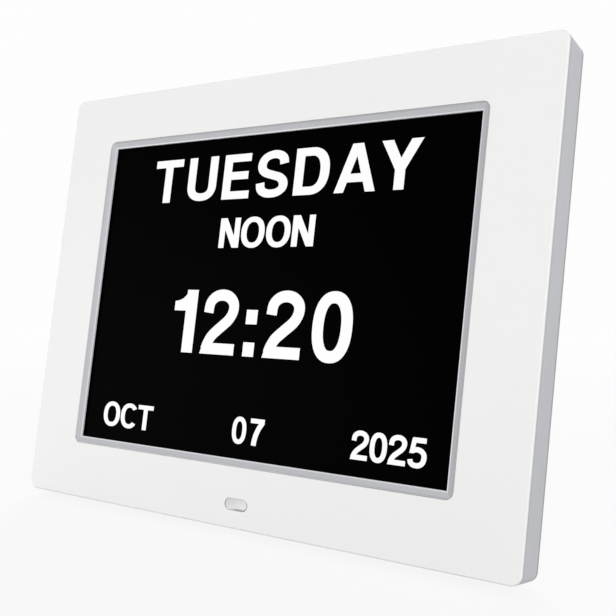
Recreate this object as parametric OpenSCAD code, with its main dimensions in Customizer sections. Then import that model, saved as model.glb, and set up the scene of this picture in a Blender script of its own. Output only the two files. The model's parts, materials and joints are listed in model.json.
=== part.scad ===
// Day clock with a leaning case, a recessed display, keys on the back and a fold-down stand leg.
// Every piece is drawn on the bench: the case lies on its face, x runs across it, y up it, and z is
// the depth behind the front face. stand_up() then leans it back and sets it on the floor, z = 0.

/* [Case] */
// Width of the front beside the display, on each side
side_margin = 26.3; // [24.5:0.1:34]
// Height of the front above the display
top_margin = 22.55; // [20.5:0.05:30]
// Height of the front below the display
bottom_margin = 24.35; // [22.2:0.05:32]
// Depth of the rim, from the front face to the back edge
rim_d = 14; // [13:0.5:18]
// Corner radius seen from the front
corner_r = 3.5; // [3:0.5:9]
// Rounding of the outer edges
edge_r = 0.5; // [0.3:0.1:0.5]
// Wall thickness of the three shells
wall = 2; // [1.6:0.1:2.4]
// Thickness of the front panel
panel_t = 2; // [1.8:0.1:2.6]
// Thickness of the front panel's edge, which covers the middle frame
edge_t = 0.6; // [0.6:0.1:1.2]
// Thickness of the middle frame's skirt around the front panel
skirt_t = 0.8; // [0.6:0.1:1]
// Depth of the middle frame
frame_d = 7.4; // [7:0.2:9]
// Thickness of the locating lips
lip_t = 1.4; // [1:0.1:1.8]
// Reach of the locating lips into the middle frame
lip_d = 1.8; // [1.2:0.1:2.4]
// Lean back from upright, in degrees
lean = 11; // [6:0.5:15]

/* [Raised back] */
// Distance of the raised back from the sides of the case
back_side = 22; // [20:0.5:25]
// Distance of the raised back below the top of the case
back_down = 21; // [19:0.5:24]
// Depth of the raised back behind the rim
back_d = 10; // [10:0.5:14]
// Height of the raised back above the bottom of the case
back_up = 20; // [17:0.5:24]
// Corner radius of the raised back
back_r = 8; // [5:0.5:12]
// Rounding of the raised back's edge
back_edge_r = 1.6; // [0.6:0.1:1.9]

/* [Display trim] */
// Width of the visible display
view_w = 163.4; // [147:0.2:178]
// Height of the visible display
view_h = 120.1; // [108:0.1:131]
// Width of the trim around the display
trim_w = 2.6; // [2:0.1:3.6]
// Outer corner radius of the trim
trim_r = 2.8; // [1:0.1:4]
// How far the trim's outer edge lies below the front face
trim_sink = 0.1; // [0.05:0.05:0.3]
// How far the trim's bevel drops towards the display
trim_drop = 0.9; // [0.7:0.05:1.3]
// Thickness of the trim's flange behind the panel
flange_t = 0.6; // [0.4:0.05:0.7]
// Width of the trim's flange
flange_w = 2.5; // [1.5:0.1:3.5]
// Width of the flat land along the trim's outer edge
land_w = 0.4; // [0.3:0.1:0.8]
// Clearance around the trim
trim_gap = 0.1; // [0.05:0.01:0.2]
// Thickness of the gasket behind the trim
gasket_t = 0.3; // [0.2:0.05:0.4]
// Distance that the gasket and the display's front opening stay back from view
hide_w = 1.6; // [0.8:0.1:2]

/* [Display module] */
// Distance of the display module's side edges outside the visible display
module_side = 9.8; // [8:0.1:11.4]
// Distance of the module's upper and lower edges outside the visible display
module_end = 10.45; // [8:0.05:11.5]
// Sheet thickness of the module's metal bezel
lcd_skin = 0.3; // [0.2:0.05:0.5]
// Thickness of the glass
glass_t = 1.4; // [1:0.1:1.6]
// Thickness of the diffuser sheets
diffuser_t = 0.2; // [0.1:0.05:0.4]
// Thickness of the light guide
guide_t = 2.5; // [2:0.1:2.8]
// Height of the LED bar under the light guide
led_h = 3; // [2:0.1:4]
// Distance of the LED bar's ends from the module's sides
led_inset = 4; // [3:0.5:8]
// Thickness of the module's back plate
tray_t = 0.6; // [0.4:0.1:0.8]
// Length of a stiffening slot in the back plate
tray_slot_l = 26; // [16:1:32]
// Width of a stiffening slot
tray_slot_w = 6; // [4:0.5:8]
// Distance between the columns of slots
tray_slot_pitch = 40; // [36:1:42]
// Distance between the two rows of slots
tray_row_pitch = 60; // [30:1:80]
// Clearance between the module's layers and its bezel
layer_gap = 0.3; // [0.1:0.05:0.5]
// Slack in depth between the light guide and the back plate
stack_gap = 0.1; // [0.05:0.05:0.2]

/* [Display clips] */
// Thickness of a clip
clip_t = 0.8; // [0.6:0.1:1]
// How far a clip reaches over the module
clip_over = 1.5; // [1:0.1:3]
// How far a clip reaches outwards beyond its screw
clip_end = 3.5; // [3:0.1:4]
// Width of a clip
clip_w = 10; // [8:0.5:14]
// Distance of the clips above and below the display's centre
clip_reach = 45; // [30:1:55]
// Distance of a clip's screw outside the module
clip_out = 5.5; // [4.5:0.1:6]
// Radius of a clip's boss
clip_boss_r = 2.6; // [2.2:0.1:3]
// Thickness of the frame's centring ribs
rib_t = 1.6; // [1.2:0.1:2.4]
// Depth of the frame's centring ribs
rib_d = 2; // [1.5:0.1:3]
// Distance of the side ribs above and below the display's centre
rib_reach_v = 22; // [15:1:30]
// Distance of the top and bottom ribs left and right of the centre
rib_reach_h = 48; // [40:1:70]
// Clearance between a rib and the module
rib_gap = 0.3; // [0.2:0.05:0.5]

/* [Infrared receiver] */
// Length of the infrared window
ir_w = 10.2; // [8:0.2:12]
// Height of the infrared window
ir_h = 4; // [3.6:0.1:5]
// Height of the infrared window's centre above the bottom of the case
ir_up = 8.5; // [7.4:0.1:9.2]
// How far the window lies below the front face
ir_sink = 0.35; // [0.1:0.05:0.6]
// Distance of the infrared window right of the middle
ir_right = 2; // [-6:0.5:8]
// Depth of the window's flange behind the panel
ir_flange_t = 0.8; // [0.5:0.1:1]
// Width of the window's flange
ir_flange_w = 0.8; // [0.5:0.1:0.9]
// Width of the receiver's board
ir_board_w = 23; // [22:0.5:28]
// Height of the receiver's board
ir_board_h = 6; // [5:0.2:6.6]
// Thickness of the receiver's board
ir_board_t = 1.2; // [0.8:0.1:1.4]
// Distance from the panel to the receiver's board
ir_standoff = 3.6; // [3.4:0.1:4]
// Distance of the board's two screws from its middle
ir_screw_reach = 8.9; // [8.6:0.1:9.4]

/* [Main board] */
// Width of the main board
board_w = 102; // [98:1:110]
// Height of the main board
board_h = 78; // [76:1:84]
// Thickness of the boards
board_t = 1.6; // [1:0.1:1.8]
// Depth of the main board behind the display module
board_back = 2; // [1.8:0.1:2.3]
// Clearance between the main board and the raised back's side wall
board_side = 2; // [1.5:0.1:3]
// Height of the main board above the raised back's lower edge
board_up = 10; // [8:0.5:12]
// Distance of the main board's screws from its edges
board_inset = 5; // [4.5:0.1:5.5]
// Width of the main chip
main_chip_w = 14; // [10:0.5:16]
// Length of a small chip
chip_l = 6; // [4:0.5:7]
// Width of a small chip
chip_w = 4; // [3:0.5:5]
// Thickness of the chips
chip_t = 1.4; // [1:0.1:2]
// Radius of a capacitor
capacitor_r = 2.6; // [2:0.1:3]
// Height of a capacitor
capacitor_h = 5.2; // [4:0.1:5.8]
// Diameter of the clock cell
cell_dia = 20; // [16:0.1:20]
// Thickness of the clock cell
cell_t = 3.2; // [1.6:0.1:3.2]
// Width of the display's flat cable
ribbon_w = 30; // [20:1:34]
// Thickness of the display's flat cable
ribbon_t = 0.3; // [0.2:0.05:0.4]
// Diameter of the inner leads
lead_dia = 1.6; // [1.2:0.1:1.8]

/* [Power inlet] */
// Diameter of the plug's barrel
plug_dia = 3.5; // [3.5:0.1:4]
// Clearance around the plug's barrel, all round
plug_gap = 0.15; // [0.1:0.05:0.3]
// Diameter of the inlet's centre pin
inlet_pin_dia = 1.2; // [1:0.1:1.4]
// Depth of the inlet's socket
inlet_deep = 9; // [8:0.1:10]
// Length of the inlet's housing
inlet_l = 12; // [11:0.5:14]
// Width of the inlet's housing
inlet_w = 6; // [5.5:0.1:7]
// Distance of the inlet's centre behind the rim
inlet_back = 4; // [3.6:0.1:4.6]
// Height of the inlet above the main board's lower edge
inlet_up = 20; // [15:1:30]
// Radius of the inlet's hole in the back's side wall
inlet_hole_r = 2.4; // [2.1:0.1:2.8]

/* [Keys] */
// Distance between neighbouring keys
key_pitch = 20; // [17:0.5:21]
// Radius of a key's cap
key_r = 4; // [3.5:0.1:4.5]
// Clearance around a key's cap
key_gap = 0.2; // [0.15:0.05:0.3]
// Height of a key above the back
key_proud = 1.2; // [1:0.1:1.8]
// Travel of a key
key_travel = 0.7; // [0.4:0.1:0.8]
// Clearance between a key's flange and the wall that holds it in
key_seat_gap = 0.1; // [0.05:0.05:0.2]
// Width of the flange that keeps a key in
key_flange_w = 1; // [0.8:0.1:1.3]
// Thickness of a key's flange
key_flange_t = 1.5; // [1:0.1:1.6]
// Radius of a key's stem
stem_r = 2; // [1.6:0.1:2.4]
// Distance of the outer board screws beyond the last key
key_post_out = 10; // [9:0.5:11]
// Distance of the keys below the raised back's upper edge
key_drop = 12; // [11:0.5:14]
// Distance of the switches' tops from the raised back's inner face
switch_back = 4.5; // [4.3:0.1:4.8]
// Width of a switch
switch_w = 6; // [5:0.1:6.5]
// Height of a switch's body above its board
switch_h = 3.5; // [3:0.1:3.8]
// Radius of a switch's plunger
plunger_r = 1.6; // [1.3:0.1:1.8]
// Length of a plunger inside its switch
plunger_in = 1.5; // [1.2:0.1:1.8]
// Clearance around a switch's plunger
plunger_gap = 0.05; // [0.03:0.01:0.1]
// How far a plunger stands out of its switch
plunger_out = 0.9; // [0.9:0.1:1.2]
// Height of the keys' board
key_board_h = 16; // [14:0.5:17]

/* [Speaker] */
// Radius of the speaker's frame
speaker_r = 15; // [13:0.5:16]
// Width of the frame's flat flange
speaker_flange_w = 2; // [1.6:0.1:2.4]
// Thickness of the frame's flat flange
speaker_flange_t = 1; // [0.8:0.1:1.2]
// Depth of the frame's basket
basket_d = 4; // [3:0.1:4.5]
// Radius of the magnet
magnet_r = 7; // [6:0.1:8]
// Thickness of the magnet
magnet_t = 4; // [3:0.1:4.2]
// Distance of the speaker's centre from the raised back's side wall
speaker_in = 26; // [22:0.5:28]
// Height of the speaker's centre above the raised back's lower edge
speaker_up = 30; // [24:0.5:34]
// Radius of a hole in the speaker's grille
grille_r = 1; // [0.7:0.1:1.2]
// Distance between the grille's rings of holes
grille_step = 4; // [3.5:0.1:4.4]

/* [Vents] */
// Number of vent slots
vent_count = 8; // [4:1:9]
// Distance between vent slots
vent_pitch = 4.6; // [4:0.1:4.8]
// Width of a vent slot
vent_w = 2; // [1.2:0.1:2.4]
// Length of a vent slot
vent_l = 24; // [14:1:30]
// Distance between the leg's pocket and the vents
vent_margin = 10; // [6:0.5:10]
// Height of the vents' middle above the raised back's lower edge
vent_up = 52; // [44:1:58]

/* [Hanging slots] */
// Radius of a hanging slot's round entry
hang_r = 4; // [3.5:0.1:4.5]
// Width of a hanging slot's neck
neck_w = 4; // [3.2:0.1:4.4]
// Distance from the entry's centre to the end of the neck
neck_l = 8; // [7:0.5:9]
// Distance of each hanging slot from the middle
hang_reach = 55; // [45:1:65]
// Distance of the slots' entries below the raised back's upper edge
hang_drop = 36; // [34:0.5:42]

/* [Stand] */
// Angle that the leg opens, in degrees
open_angle = 25; // [20:0.5:30]
// Height of the leg's hinge above the bottom of the case
hinge_rise = 90; // [81:0.5:99]
// Depth of the pocket that the leg folds into
pocket_d = 5; // [4.9:0.05:5.4]
// Width of that pocket
pocket_w = 60; // [52:1:62]
// Clearance between the leg and the pocket's sides
leg_gap = 0.8; // [0.5:0.1:1.2]
// Width of the leg at its tip
tip_w = 44; // [34:1:48]
// Thickness of the leg
leg_t = 3.2; // [2.8:0.1:3.4]
// Corner radius of the leg's tip
tip_r = 5; // [3:0.5:8]
// Radius of the leg's hinge barrel
barrel_r = 2.4; // [2.2:0.05:2.45]
// Height of the heel above the hinge, which stops the leg
heel_h = 5; // [4:0.1:5.5]
// Radius of the hinge pin
pin_r = 1; // [0.8:0.05:1.2]
// Length of the pin that each side of the pocket holds
pin_hold = 5; // [3.5:0.5:6]
// Clearance between the leg and the hinge pin
pin_gap = 0.05; // [0.03:0.01:0.1]
// Clearance between the case and the hinge pin
pin_fit = 0.02; // [0.01:0.005:0.03]
// Clearance between the leg's barrel and the pocket's floor
barrel_gap = 0.1; // [0.05:0.05:0.2]
// How far the leg's middle lies in front of the hinge
leg_drop = 0.3; // [0:0.05:0.4]
// Clearance above the folded leg's heel
heel_gap = 1; // [0.6:0.1:1.5]
// Clearance between the opened leg's heel and its stop
stop_gap = 0.05; // [0.02:0.01:0.1]
// Length of the finger ribs on the leg
grip_l = 24; // [16:1:30]
// Width of a finger rib
grip_w = 1.6; // [1.2:0.1:2]
// Height of a finger rib
grip_h = 0.5; // [0.3:0.05:0.6]
// Distance between finger ribs
grip_pitch = 4; // [3:0.5:5]
// Distance of the last finger rib from the leg's end
grip_up = 12; // [9:0.5:16]
// Length of the rubber pad on the leg's tip
pad_l = 4; // [3:0.1:5]
// Width of the rubber pad
pad_w = 32; // [20:1:34]
// How far the rubber pad stands proud of the leg's two faces
pad_proud = 0.2; // [0.1:0.1:0.4]

/* [Feet] */
// Height of the case's back edge above the floor
foot_h = 0.8; // [0.5:0.1:1.5]
// Length of a rubber foot
foot_l = 18; // [12:1:30]
// Width of a rubber foot
foot_w = 3.2; // [2.6:0.1:3.4]
// Distance of each foot from the middle
foot_reach = 80; // [60:1:90]

/* [Screws] */
// Radius of a case screw's shank
screw_r = 1.3; // [1:0.1:1.4]
// Radius of a case screw's head
head_r = 2.5; // [2.2:0.1:2.7]
// Height of a case screw's head
head_h = 1.8; // [1.2:0.1:2]
// Radius of the posts that the case screws enter
post_r = 3.5; // [3.2:0.1:3.8]
// Distance of the case screws from the edges of the case
post_inset = 10; // [9.5:0.1:10.5]
// Radius of a small screw's shank
small_r = 0.9; // [0.7:0.05:1]
// Radius of a small screw's head
small_head_r = 1.9; // [1.6:0.1:2]
// Height of a small screw's head
small_head_h = 1.2; // [0.8:0.1:1.3]
// Clearance between a screw and its hole
screw_gap = 0.05; // [0.03:0.01:0.1]

/* [Fits] */
// Clearance between the locating lips and the middle frame
shell_gap = 0.15; // [0.1:0.01:0.25]
// Clearance between pieces that lie close together inside
air = 0.3; // [0.2:0.05:0.5]

/* [Hidden] */
$fn = 64;

// Colours of the finishes
white_abs = "#EEEEEC";
silver_abs = "#C4C6CA";
trim_grey = "#C0C1C5";
black = "#17181A";
board_green = "#1F5B3A";
steel = "#A9ADB2";
rubber = "#3A3B3D";

// A cut runs this far past the face that it opens
past = 1;

// Outline of the case, and the middle of the display
case_w = view_w + 2 * side_margin;
case_h = view_h + bottom_margin + top_margin;
view_up = bottom_margin + view_h / 2;
back_w = case_w - 2 * back_side;
back_h = case_h - back_up - back_down;
lcd_w = view_w + 2 * module_side;
lcd_h = view_h + 2 * module_end;

// Depths in the case, counted from the front face
seam_z = panel_t + frame_d;
back_z = rim_d + back_d;
floor_z = rim_d - wall;
roof_z = back_z - wall;
pocket_z = back_z - pocket_d;
back_y = back_up + back_h / 2;
back_top = back_up + back_h;

// Depths of the display's layers
bevel_z = trim_sink + trim_drop;
flange_z = panel_t - gasket_t - flange_t;
flange_back = flange_z + flange_t;
glass_z = panel_t + lcd_skin;
diffuser_z = glass_z + glass_t;
guide_z = diffuser_z + diffuser_t;
tray_z = guide_z + guide_t + stack_gap;
lcd_back = tray_z + tray_t;
trim_ow = view_w + 2 * trim_w;
trim_oh = view_h + 2 * trim_w;
lcd_bottom = view_up - lcd_h / 2;

// Posts of the case screws, as [x, y]
post_x = case_w / 2 - post_inset;
post_rows = [post_inset, case_h / 2, case_h - post_inset];
seat_z = seam_z + head_h;

// Clips, on both sides of the module
clip_x = lcd_w / 2 + clip_out;

// Main board
board_z = lcd_back + board_back;
board_face = board_z + board_t;
board_x1 = back_w / 2 - wall - board_side;
board_x0 = board_x1 - board_w;
board_y0 = back_up + board_up;
board_y1 = board_y0 + board_h;
board_holes = [for (x = [board_x0 + board_inset, board_x1 - board_inset],
    y = [board_y0 + board_inset, board_y1 - board_inset]) [x, y]];
inlet_z = rim_d + inlet_back;
inlet_y = board_y0 + inlet_up;
inlet_x = back_w / 2 - wall;

// Sockets of the leads on the main board: the middle of the edge that the lead enters
socket_w = 6;
socket_l = 4;
socket_h = 3.6;
lead_z = board_face + socket_h / 2;
speaker_socket_x = board_x0 + 18;
ir_socket_x = board_x0 + 28;
key_socket_x = board_x0 + 50;
ribbon_x = board_x0 + 54;
cell_x = board_x0 + 30;
cell_y = board_y0 + 32;
cell_rim_t = 2;
cell_base_t = 0.8;
cell_slot_w = 8;
cell_step = 0.6;

// Keys: names, and places across the back
key_names = ["power", "menu", "up", "down", "left", "right", "exit"];
key_y = back_top - key_drop;
function key_x(i) = (i - (len(key_names) - 1) / 2) * key_pitch;
key_flange_r = key_r + key_flange_w;
key_flange_z = roof_z - key_seat_gap - key_flange_t;
switch_top = roof_z - switch_back;
stem_end = switch_top + plunger_out;
key_board_face = switch_top - switch_h;
key_board_z = key_board_face - board_t;
key_post_end = key_x(len(key_names) - 1) + key_post_out;
key_post_x = [-key_post_end, key_x(1) + key_pitch / 2, key_x(4) + key_pitch / 2, key_post_end];
key_board_w = 2 * (key_post_end + board_inset);

// Speaker
speaker_x = -(back_w / 2 - wall - speaker_in);
speaker_y = back_up + speaker_up;
flange_lo = roof_z - speaker_flange_t;
basket_lo = flange_lo - basket_d;
magnet_lo = basket_lo - magnet_t;
speaker_post_r = speaker_r + small_r + 1.3;

// Vents, on the side away from the speaker
vent_x = pocket_w / 2 + vent_margin + (vent_count - 1) * vent_pitch / 2;
vent_y = back_up + vent_up;

// Stand: the hinge, and the leg's length that brings its pad to the floor
hinge_z = pocket_z + barrel_r + barrel_gap;
leg_w = pocket_w - 2 * leg_gap;
leg_z = hinge_z - leg_t / 2 - leg_drop;
pocket_top = hinge_rise + heel_h + heel_gap;
rise = rim_d * sin(lean) + foot_h;
hinge_height = hinge_rise * cos(lean) - hinge_z * sin(lean) + rise;
leg_reach = hinge_height / cos(open_angle - lean);
leg_l = leg_reach - pad_l + leg_t / 2 * tan(open_angle - lean);
hinge_out = hinge_z * cos(lean) + hinge_rise * sin(lean);
deepest = hinge_out + (leg_reach + 1) * sin(open_angle - lean) + leg_t / 2;

// Places

module stand_up() {
    translate([0, -deepest / 2, rise]) rotate([-lean, 0, 0])
        mirror([0, 1, 0]) rotate([90, 0, 0]) children();
}

// Everything below the floor
module below_floor() {
    translate([-case_w, -case_w, -case_w]) cube([2 * case_w, 2 * case_w, case_w]);
}

module both_sides(x) {
    for (s = [-1, 1]) translate([s * x, 0, 0]) children();
}

module at_hinge() {
    translate([0, hinge_rise, hinge_z]) children();
}

// The leg's place when it is open, on its stop
module opened() {
    at_hinge() rotate([-open_angle, 0, 0]) translate([0, -hinge_rise, -hinge_z]) children();
}

// Basic shapes

// A rectangle with round corners, centred
module round_rect(w, h, r) {
    union() {
        square([w - 2 * r, h], center = true);
        square([w, h - 2 * r], center = true);
        for (x = [-1, 1], y = [-1, 1]) translate([x * (w / 2 - r), y * (h / 2 - r)]) circle(r);
    }
}

// A flat plate from depth z0 to z1, centred on height y
module plate(w, h, r, z0, z1, y) {
    translate([0, y, z0]) linear_extrude(z1 - z0) round_rect(w, h, r);
}

// A rectangular frame of the given border width
module border(w, h, r, t, z0, z1, y) {
    difference() {
        plate(w, h, r, z0, z1, y);
        plate(w - 2 * t, h - 2 * t, max(r - t, 0.4), z0 - past, z1 + past, y);
    }
}

// A plain block between two corners
module block(low, high) {
    translate(low) cube(high - low);
}

// Half of a slab's cross-section, from its corner centre outwards, with its far edge rounded
module edge_section(r, t, round_r) {
    union() {
        square([r, t - round_r]);
        square([r - round_r, t]);
        translate([r - round_r, t - round_r]) intersection() {
            circle(round_r);
            square(round_r);
        }
    }
}

// A slab with round corners whose edge at z = t is rounded by round_r, standing on z = 0
module soft_slab(w, h, r, t, round_r) {
    px = w / 2 - r;
    py = h / 2 - r;
    union() {
        translate([-px, -py, 0]) cube([2 * px, 2 * py, t]);
        for (a = [0, 180]) {
            rotate(a) translate([px, py, 0]) rotate_extrude(angle = 90) edge_section(r, t, round_r);
            rotate(a) translate([-px, py, 0]) rotate(90)
                rotate_extrude(angle = 90) edge_section(r, t, round_r);
            rotate(a) translate([px, py, 0]) rotate([90, 0, 0])
                linear_extrude(2 * py) edge_section(r, t, round_r);
            rotate(a) translate([-px, py, 0]) rotate([90, 0, 90])
                linear_extrude(2 * px) edge_section(r, t, round_r);
        }
    }
}

// An oblong plate with half-round ends
module oblong(w, h, t) {
    linear_extrude(t) union() {
        square([w - h, h], center = true);
        for (x = [-1, 1]) translate([x * (w - h) / 2, 0]) circle(h / 2);
    }
}

// A screw whose head stands behind depth 0 and whose shank points to the front
module screw(r, l, hr, hh) {
    slot_w = hr / 3;
    difference() {
        union() {
            translate([0, 0, -l]) cylinder(r = r, h = l + past / 4);
            cylinder(r = hr, h = hh);
        }
        for (a = [0, 90]) rotate(a)
            translate([-hr * 0.6, -slot_w / 2, hh * 0.5]) cube([hr * 1.2, slot_w, hh]);
    }
}

// A post from depth z0 to z1 with a pilot hole in its back end
module front_post(r, z0, z1, hole_r, hole_l) {
    difference() {
        translate([0, 0, z0]) cylinder(r = r, h = z1 - z0);
        translate([0, 0, z1 - hole_l]) cylinder(r = hole_r, h = hole_l + past);
    }
}

// Smooth curve through the points: each span is a cubic whose ends follow the neighbouring points
function along(p, i, t) =
    let (a = p[max(i - 1, 0)], b = p[i], c = p[i + 1], d = p[min(i + 2, len(p) - 1)])
    0.5 * (2 * b + (c - a) * t + (2 * a - 5 * b + 4 * c - d) * t * t
        + (3 * b - a - 3 * c + d) * t * t * t);
function smooth(p, n) = [for (i = [0:len(p) - 2], k = [0:n - 1]) along(p, i, k / n), p[len(p) - 1]];
function unit(v) = v / norm(v);

// A lead: an eight-sided tube swept along a smooth curve, with square-cut ends.
// No stretch of it runs along the direction called side.
module lead(points, side) {
    sides = 8;
    way = smooth(points, 4);
    last = len(way) - 1;
    rings = [for (i = [0:last])
        let (f = i == 0 ? unit(points[1] - points[0])
                : i == last ? unit(points[len(points) - 1] - points[len(points) - 2])
                : unit(way[i + 1] - way[i - 1]),
            u = unit(cross(f, side)),
            v = cross(f, u))
        for (k = [0:sides - 1])
            way[i] + lead_dia / 2 * (cos(360 * k / sides) * u + sin(360 * k / sides) * v)];
    polyhedron(rings, concat(
        [[for (k = [0:sides - 1]) k]],
        [[for (k = [sides - 1:-1:0]) last * sides + k]],
        [for (i = [0:last - 1], k = [0:sides - 1])
            [i * sides + k, (i + 1) * sides + k, (i + 1) * sides + (k + 1) % sides,
                i * sides + (k + 1) % sides]]));
}

// Case

module front_panel() color(white_abs) stand_up() {
    difference() {
        union() {
            translate([0, case_h / 2, edge_t]) mirror([0, 0, 1])
                soft_slab(case_w, case_h, corner_r, edge_t, edge_r);
            skirt_out = 2 * (skirt_t + shell_gap);
            plate(case_w - skirt_out, case_h - skirt_out, corner_r - skirt_out / 2,
                edge_t / 2, panel_t, case_h / 2);
            lip_out = 2 * (wall + shell_gap);
            border(case_w - lip_out, case_h - lip_out, corner_r - wall, lip_t,
                panel_t, panel_t + lip_d, case_h / 2);
        }
        plate(trim_ow + 2 * trim_gap, trim_oh + 2 * trim_gap, trim_r, -past, panel_t + past, view_up);
        plate(trim_ow + 2 * (flange_w + trim_gap), trim_oh + 2 * (flange_w + trim_gap), trim_r,
            flange_z, panel_t + past, view_up);
        translate([ir_right, ir_up, -past])
            oblong(ir_w + 2 * trim_gap, ir_h + 2 * trim_gap, panel_t + 2 * past);
    }
    for (y = post_rows) both_sides(post_x) translate([0, y, 0])
        front_post(post_r, panel_t, seam_z, screw_r + screw_gap, frame_d - past);
    for (s = [-1, 1]) both_sides(clip_x) translate([0, view_up + s * clip_reach, 0])
        front_post(clip_boss_r, panel_t, lcd_back, small_r + screw_gap, lcd_back - panel_t - past);
    translate([ir_right, ir_up, 0]) both_sides(ir_screw_reach)
        front_post(small_r + 0.9, panel_t, panel_t + ir_standoff, small_r + screw_gap, ir_standoff);
}

module mid_frame() color(silver_abs) stand_up() {
    rib_z = panel_t + lip_d + air;
    inner_x = case_w / 2 - wall / 2;
    side_l = inner_x - lcd_w / 2 - rib_gap;
    bottom_l = lcd_bottom - rib_gap - wall / 2;
    top_l = case_h - wall / 2 - (lcd_bottom + lcd_h) - rib_gap;
    union() {
        border(case_w, case_h, corner_r, wall, panel_t, seam_z, case_h / 2);
        border(case_w, case_h, corner_r, skirt_t, edge_t, panel_t + past, case_h / 2);
        for (s = [-1, 1]) both_sides(inner_x - side_l / 2)
            translate([-side_l / 2, view_up + s * rib_reach_v - rib_t / 2, rib_z])
                cube([side_l, rib_t, rib_d]);
        both_sides(rib_reach_h) translate([-rib_t / 2, wall / 2, rib_z])
            cube([rib_t, bottom_l, rib_d]);
        both_sides(rib_reach_h) translate([-rib_t / 2, case_h - wall / 2 - top_l, rib_z])
            cube([rib_t, top_l, rib_d]);
    }
}

// The empty space inside the rear cover
module cover_hollow() {
    inset = 2 * (wall + shell_gap + lip_t);
    plate(case_w - inset, case_h - inset, max(corner_r - wall - lip_t, 0.6),
        seam_z - lip_d - past, floor_z, case_h / 2);
    plate(back_w - 2 * wall, back_h - 2 * wall, back_r - wall, floor_z - past, roof_z, back_y);
}

// The pocket's walls, and the blocks that hold the ends of the hinge pin
module pocket_walls() {
    block([-pocket_w / 2 - wall, back_up, pocket_z - wall],
        [pocket_w / 2 + wall, pocket_top + wall, roof_z + past]);
    block([-pocket_w / 2 - pin_hold - wall / 2, hinge_rise - 2 * wall, hinge_z - barrel_r - wall],
        [pocket_w / 2 + pin_hold + wall / 2, hinge_rise + 2 * wall, roof_z + past]);
}

module speaker_grille() {
    for (ring = [0:2], k = [0:max(6 * ring - 1, 0)])
        translate([speaker_x, speaker_y, roof_z - past]) rotate(k * 60 / max(ring, 1))
            translate([ring * grille_step, 0, 0]) cylinder(r = grille_r, h = wall + 2 * past);
}

module vents() {
    for (k = [0:vent_count - 1])
        translate([vent_x + (k - (vent_count - 1) / 2) * vent_pitch, vent_y, roof_z - past])
            rotate(90) oblong(vent_l, vent_w, wall + 2 * past);
}

module hanging_slots() {
    both_sides(hang_reach) translate([0, back_top - hang_drop, roof_z - past]) {
        cylinder(r = hang_r, h = wall + 2 * past);
        translate([-neck_w / 2, 0, 0]) cube([neck_w, neck_l - neck_w / 2, wall + 2 * past]);
        translate([0, neck_l - neck_w / 2, 0]) cylinder(d = neck_w, h = wall + 2 * past);
    }
}

module rear_cover() color(silver_abs) stand_up() {
    lip_out = 2 * (wall + shell_gap);
    difference() {
        union() {
            difference() {
                union() {
                    translate([0, case_h / 2, seam_z])
                        soft_slab(case_w, case_h, corner_r, rim_d - seam_z, edge_r);
                    plate(case_w - lip_out, case_h - lip_out, corner_r - wall,
                        seam_z - lip_d, seam_z + past, case_h / 2);
                    translate([0, back_y, floor_z])
                        soft_slab(back_w, back_h, back_r, back_z - floor_z, back_edge_r);
                }
                cover_hollow();
            }
            pocket_walls();
            for (y = post_rows) both_sides(post_x) translate([0, y, seam_z])
                cylinder(r = post_r + 0.5, h = floor_z - seam_z + past);
            for (h = board_holes) translate([h[0], h[1], board_face])
                cylinder(r = small_r + 1.6, h = post_end(h) - board_face);
            for (x = key_post_x) translate([x, key_y, key_board_face])
                cylinder(r = small_r + 1.6, h = roof_z - key_board_face + past / 2);
            translate([speaker_x, speaker_y, flange_lo]) difference() {
                cylinder(r = speaker_post_r + small_r + 1, h = speaker_flange_t + past / 2);
                translate([0, 0, -past]) cylinder(r = speaker_r + air / 2, h = speaker_flange_t + past);
            }
        }
        // Leg pocket, open at the back and at the bottom of the raised back
        block([-pocket_w / 2, back_up - past, pocket_z],
            [pocket_w / 2, pocket_top, back_z + past]);
        // Bore of the hinge pin
        at_hinge() translate([-pocket_w / 2 - pin_hold, 0, 0]) rotate([0, 90, 0])
            cylinder(r = pin_r + pin_fit, h = pocket_w + 2 * pin_hold);
        // Counterbores and holes of the case screws
        for (y = post_rows) both_sides(post_x) {
            translate([0, y, seat_z]) cylinder(r = head_r + air, h = rim_d);
            translate([0, y, seam_z - past]) cylinder(r = screw_r + air, h = rim_d);
        }
        // Pilot holes of the small screws
        for (h = board_holes) translate([h[0], h[1], board_face - past])
            cylinder(r = small_r + screw_gap, h = 4 + past);
        for (x = key_post_x) translate([x, key_y, key_board_face - past])
            cylinder(r = small_r + screw_gap, h = 4 + past);
        for (a = [90, 210, 330]) translate([speaker_x, speaker_y, flange_lo - past]) rotate(a)
            translate([speaker_post_r, 0, 0]) cylinder(r = small_r + screw_gap, h = 2.3 + past);
        // Key holes, inlet, grille, vents and hanging slots
        for (i = [0:len(key_names) - 1]) translate([key_x(i), key_y, roof_z - past])
            cylinder(r = key_r + key_gap, h = wall + 2 * past);
        translate([inlet_x - past, inlet_y, inlet_z]) rotate([0, 90, 0])
            cylinder(r = inlet_hole_r, h = wall + 2 * past);
        speaker_grille();
        vents();
        hanging_slots();
    }
}

// A board post ends at the roof, or at the pocket's wall where it meets that first
function post_end(h) = past / 2 +
    (abs(h[0]) < pocket_w / 2 + wall && h[1] < pocket_top + wall ? pocket_z - wall : roof_z);

module case_screws() color(steel) stand_up() {
    for (y = post_rows) both_sides(post_x) translate([0, y, seat_z])
        screw(screw_r, head_h + frame_d - 2 * past, head_r, head_h);
}

module bottom_feet() color(rubber) difference() {
    stand_up() both_sides(foot_reach) translate([0, 0, (seam_z + rim_d - edge_r) / 2])
        rotate([90, 0, 0]) oblong(foot_l, foot_w, rise);
    below_floor();
}

// Display

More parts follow.
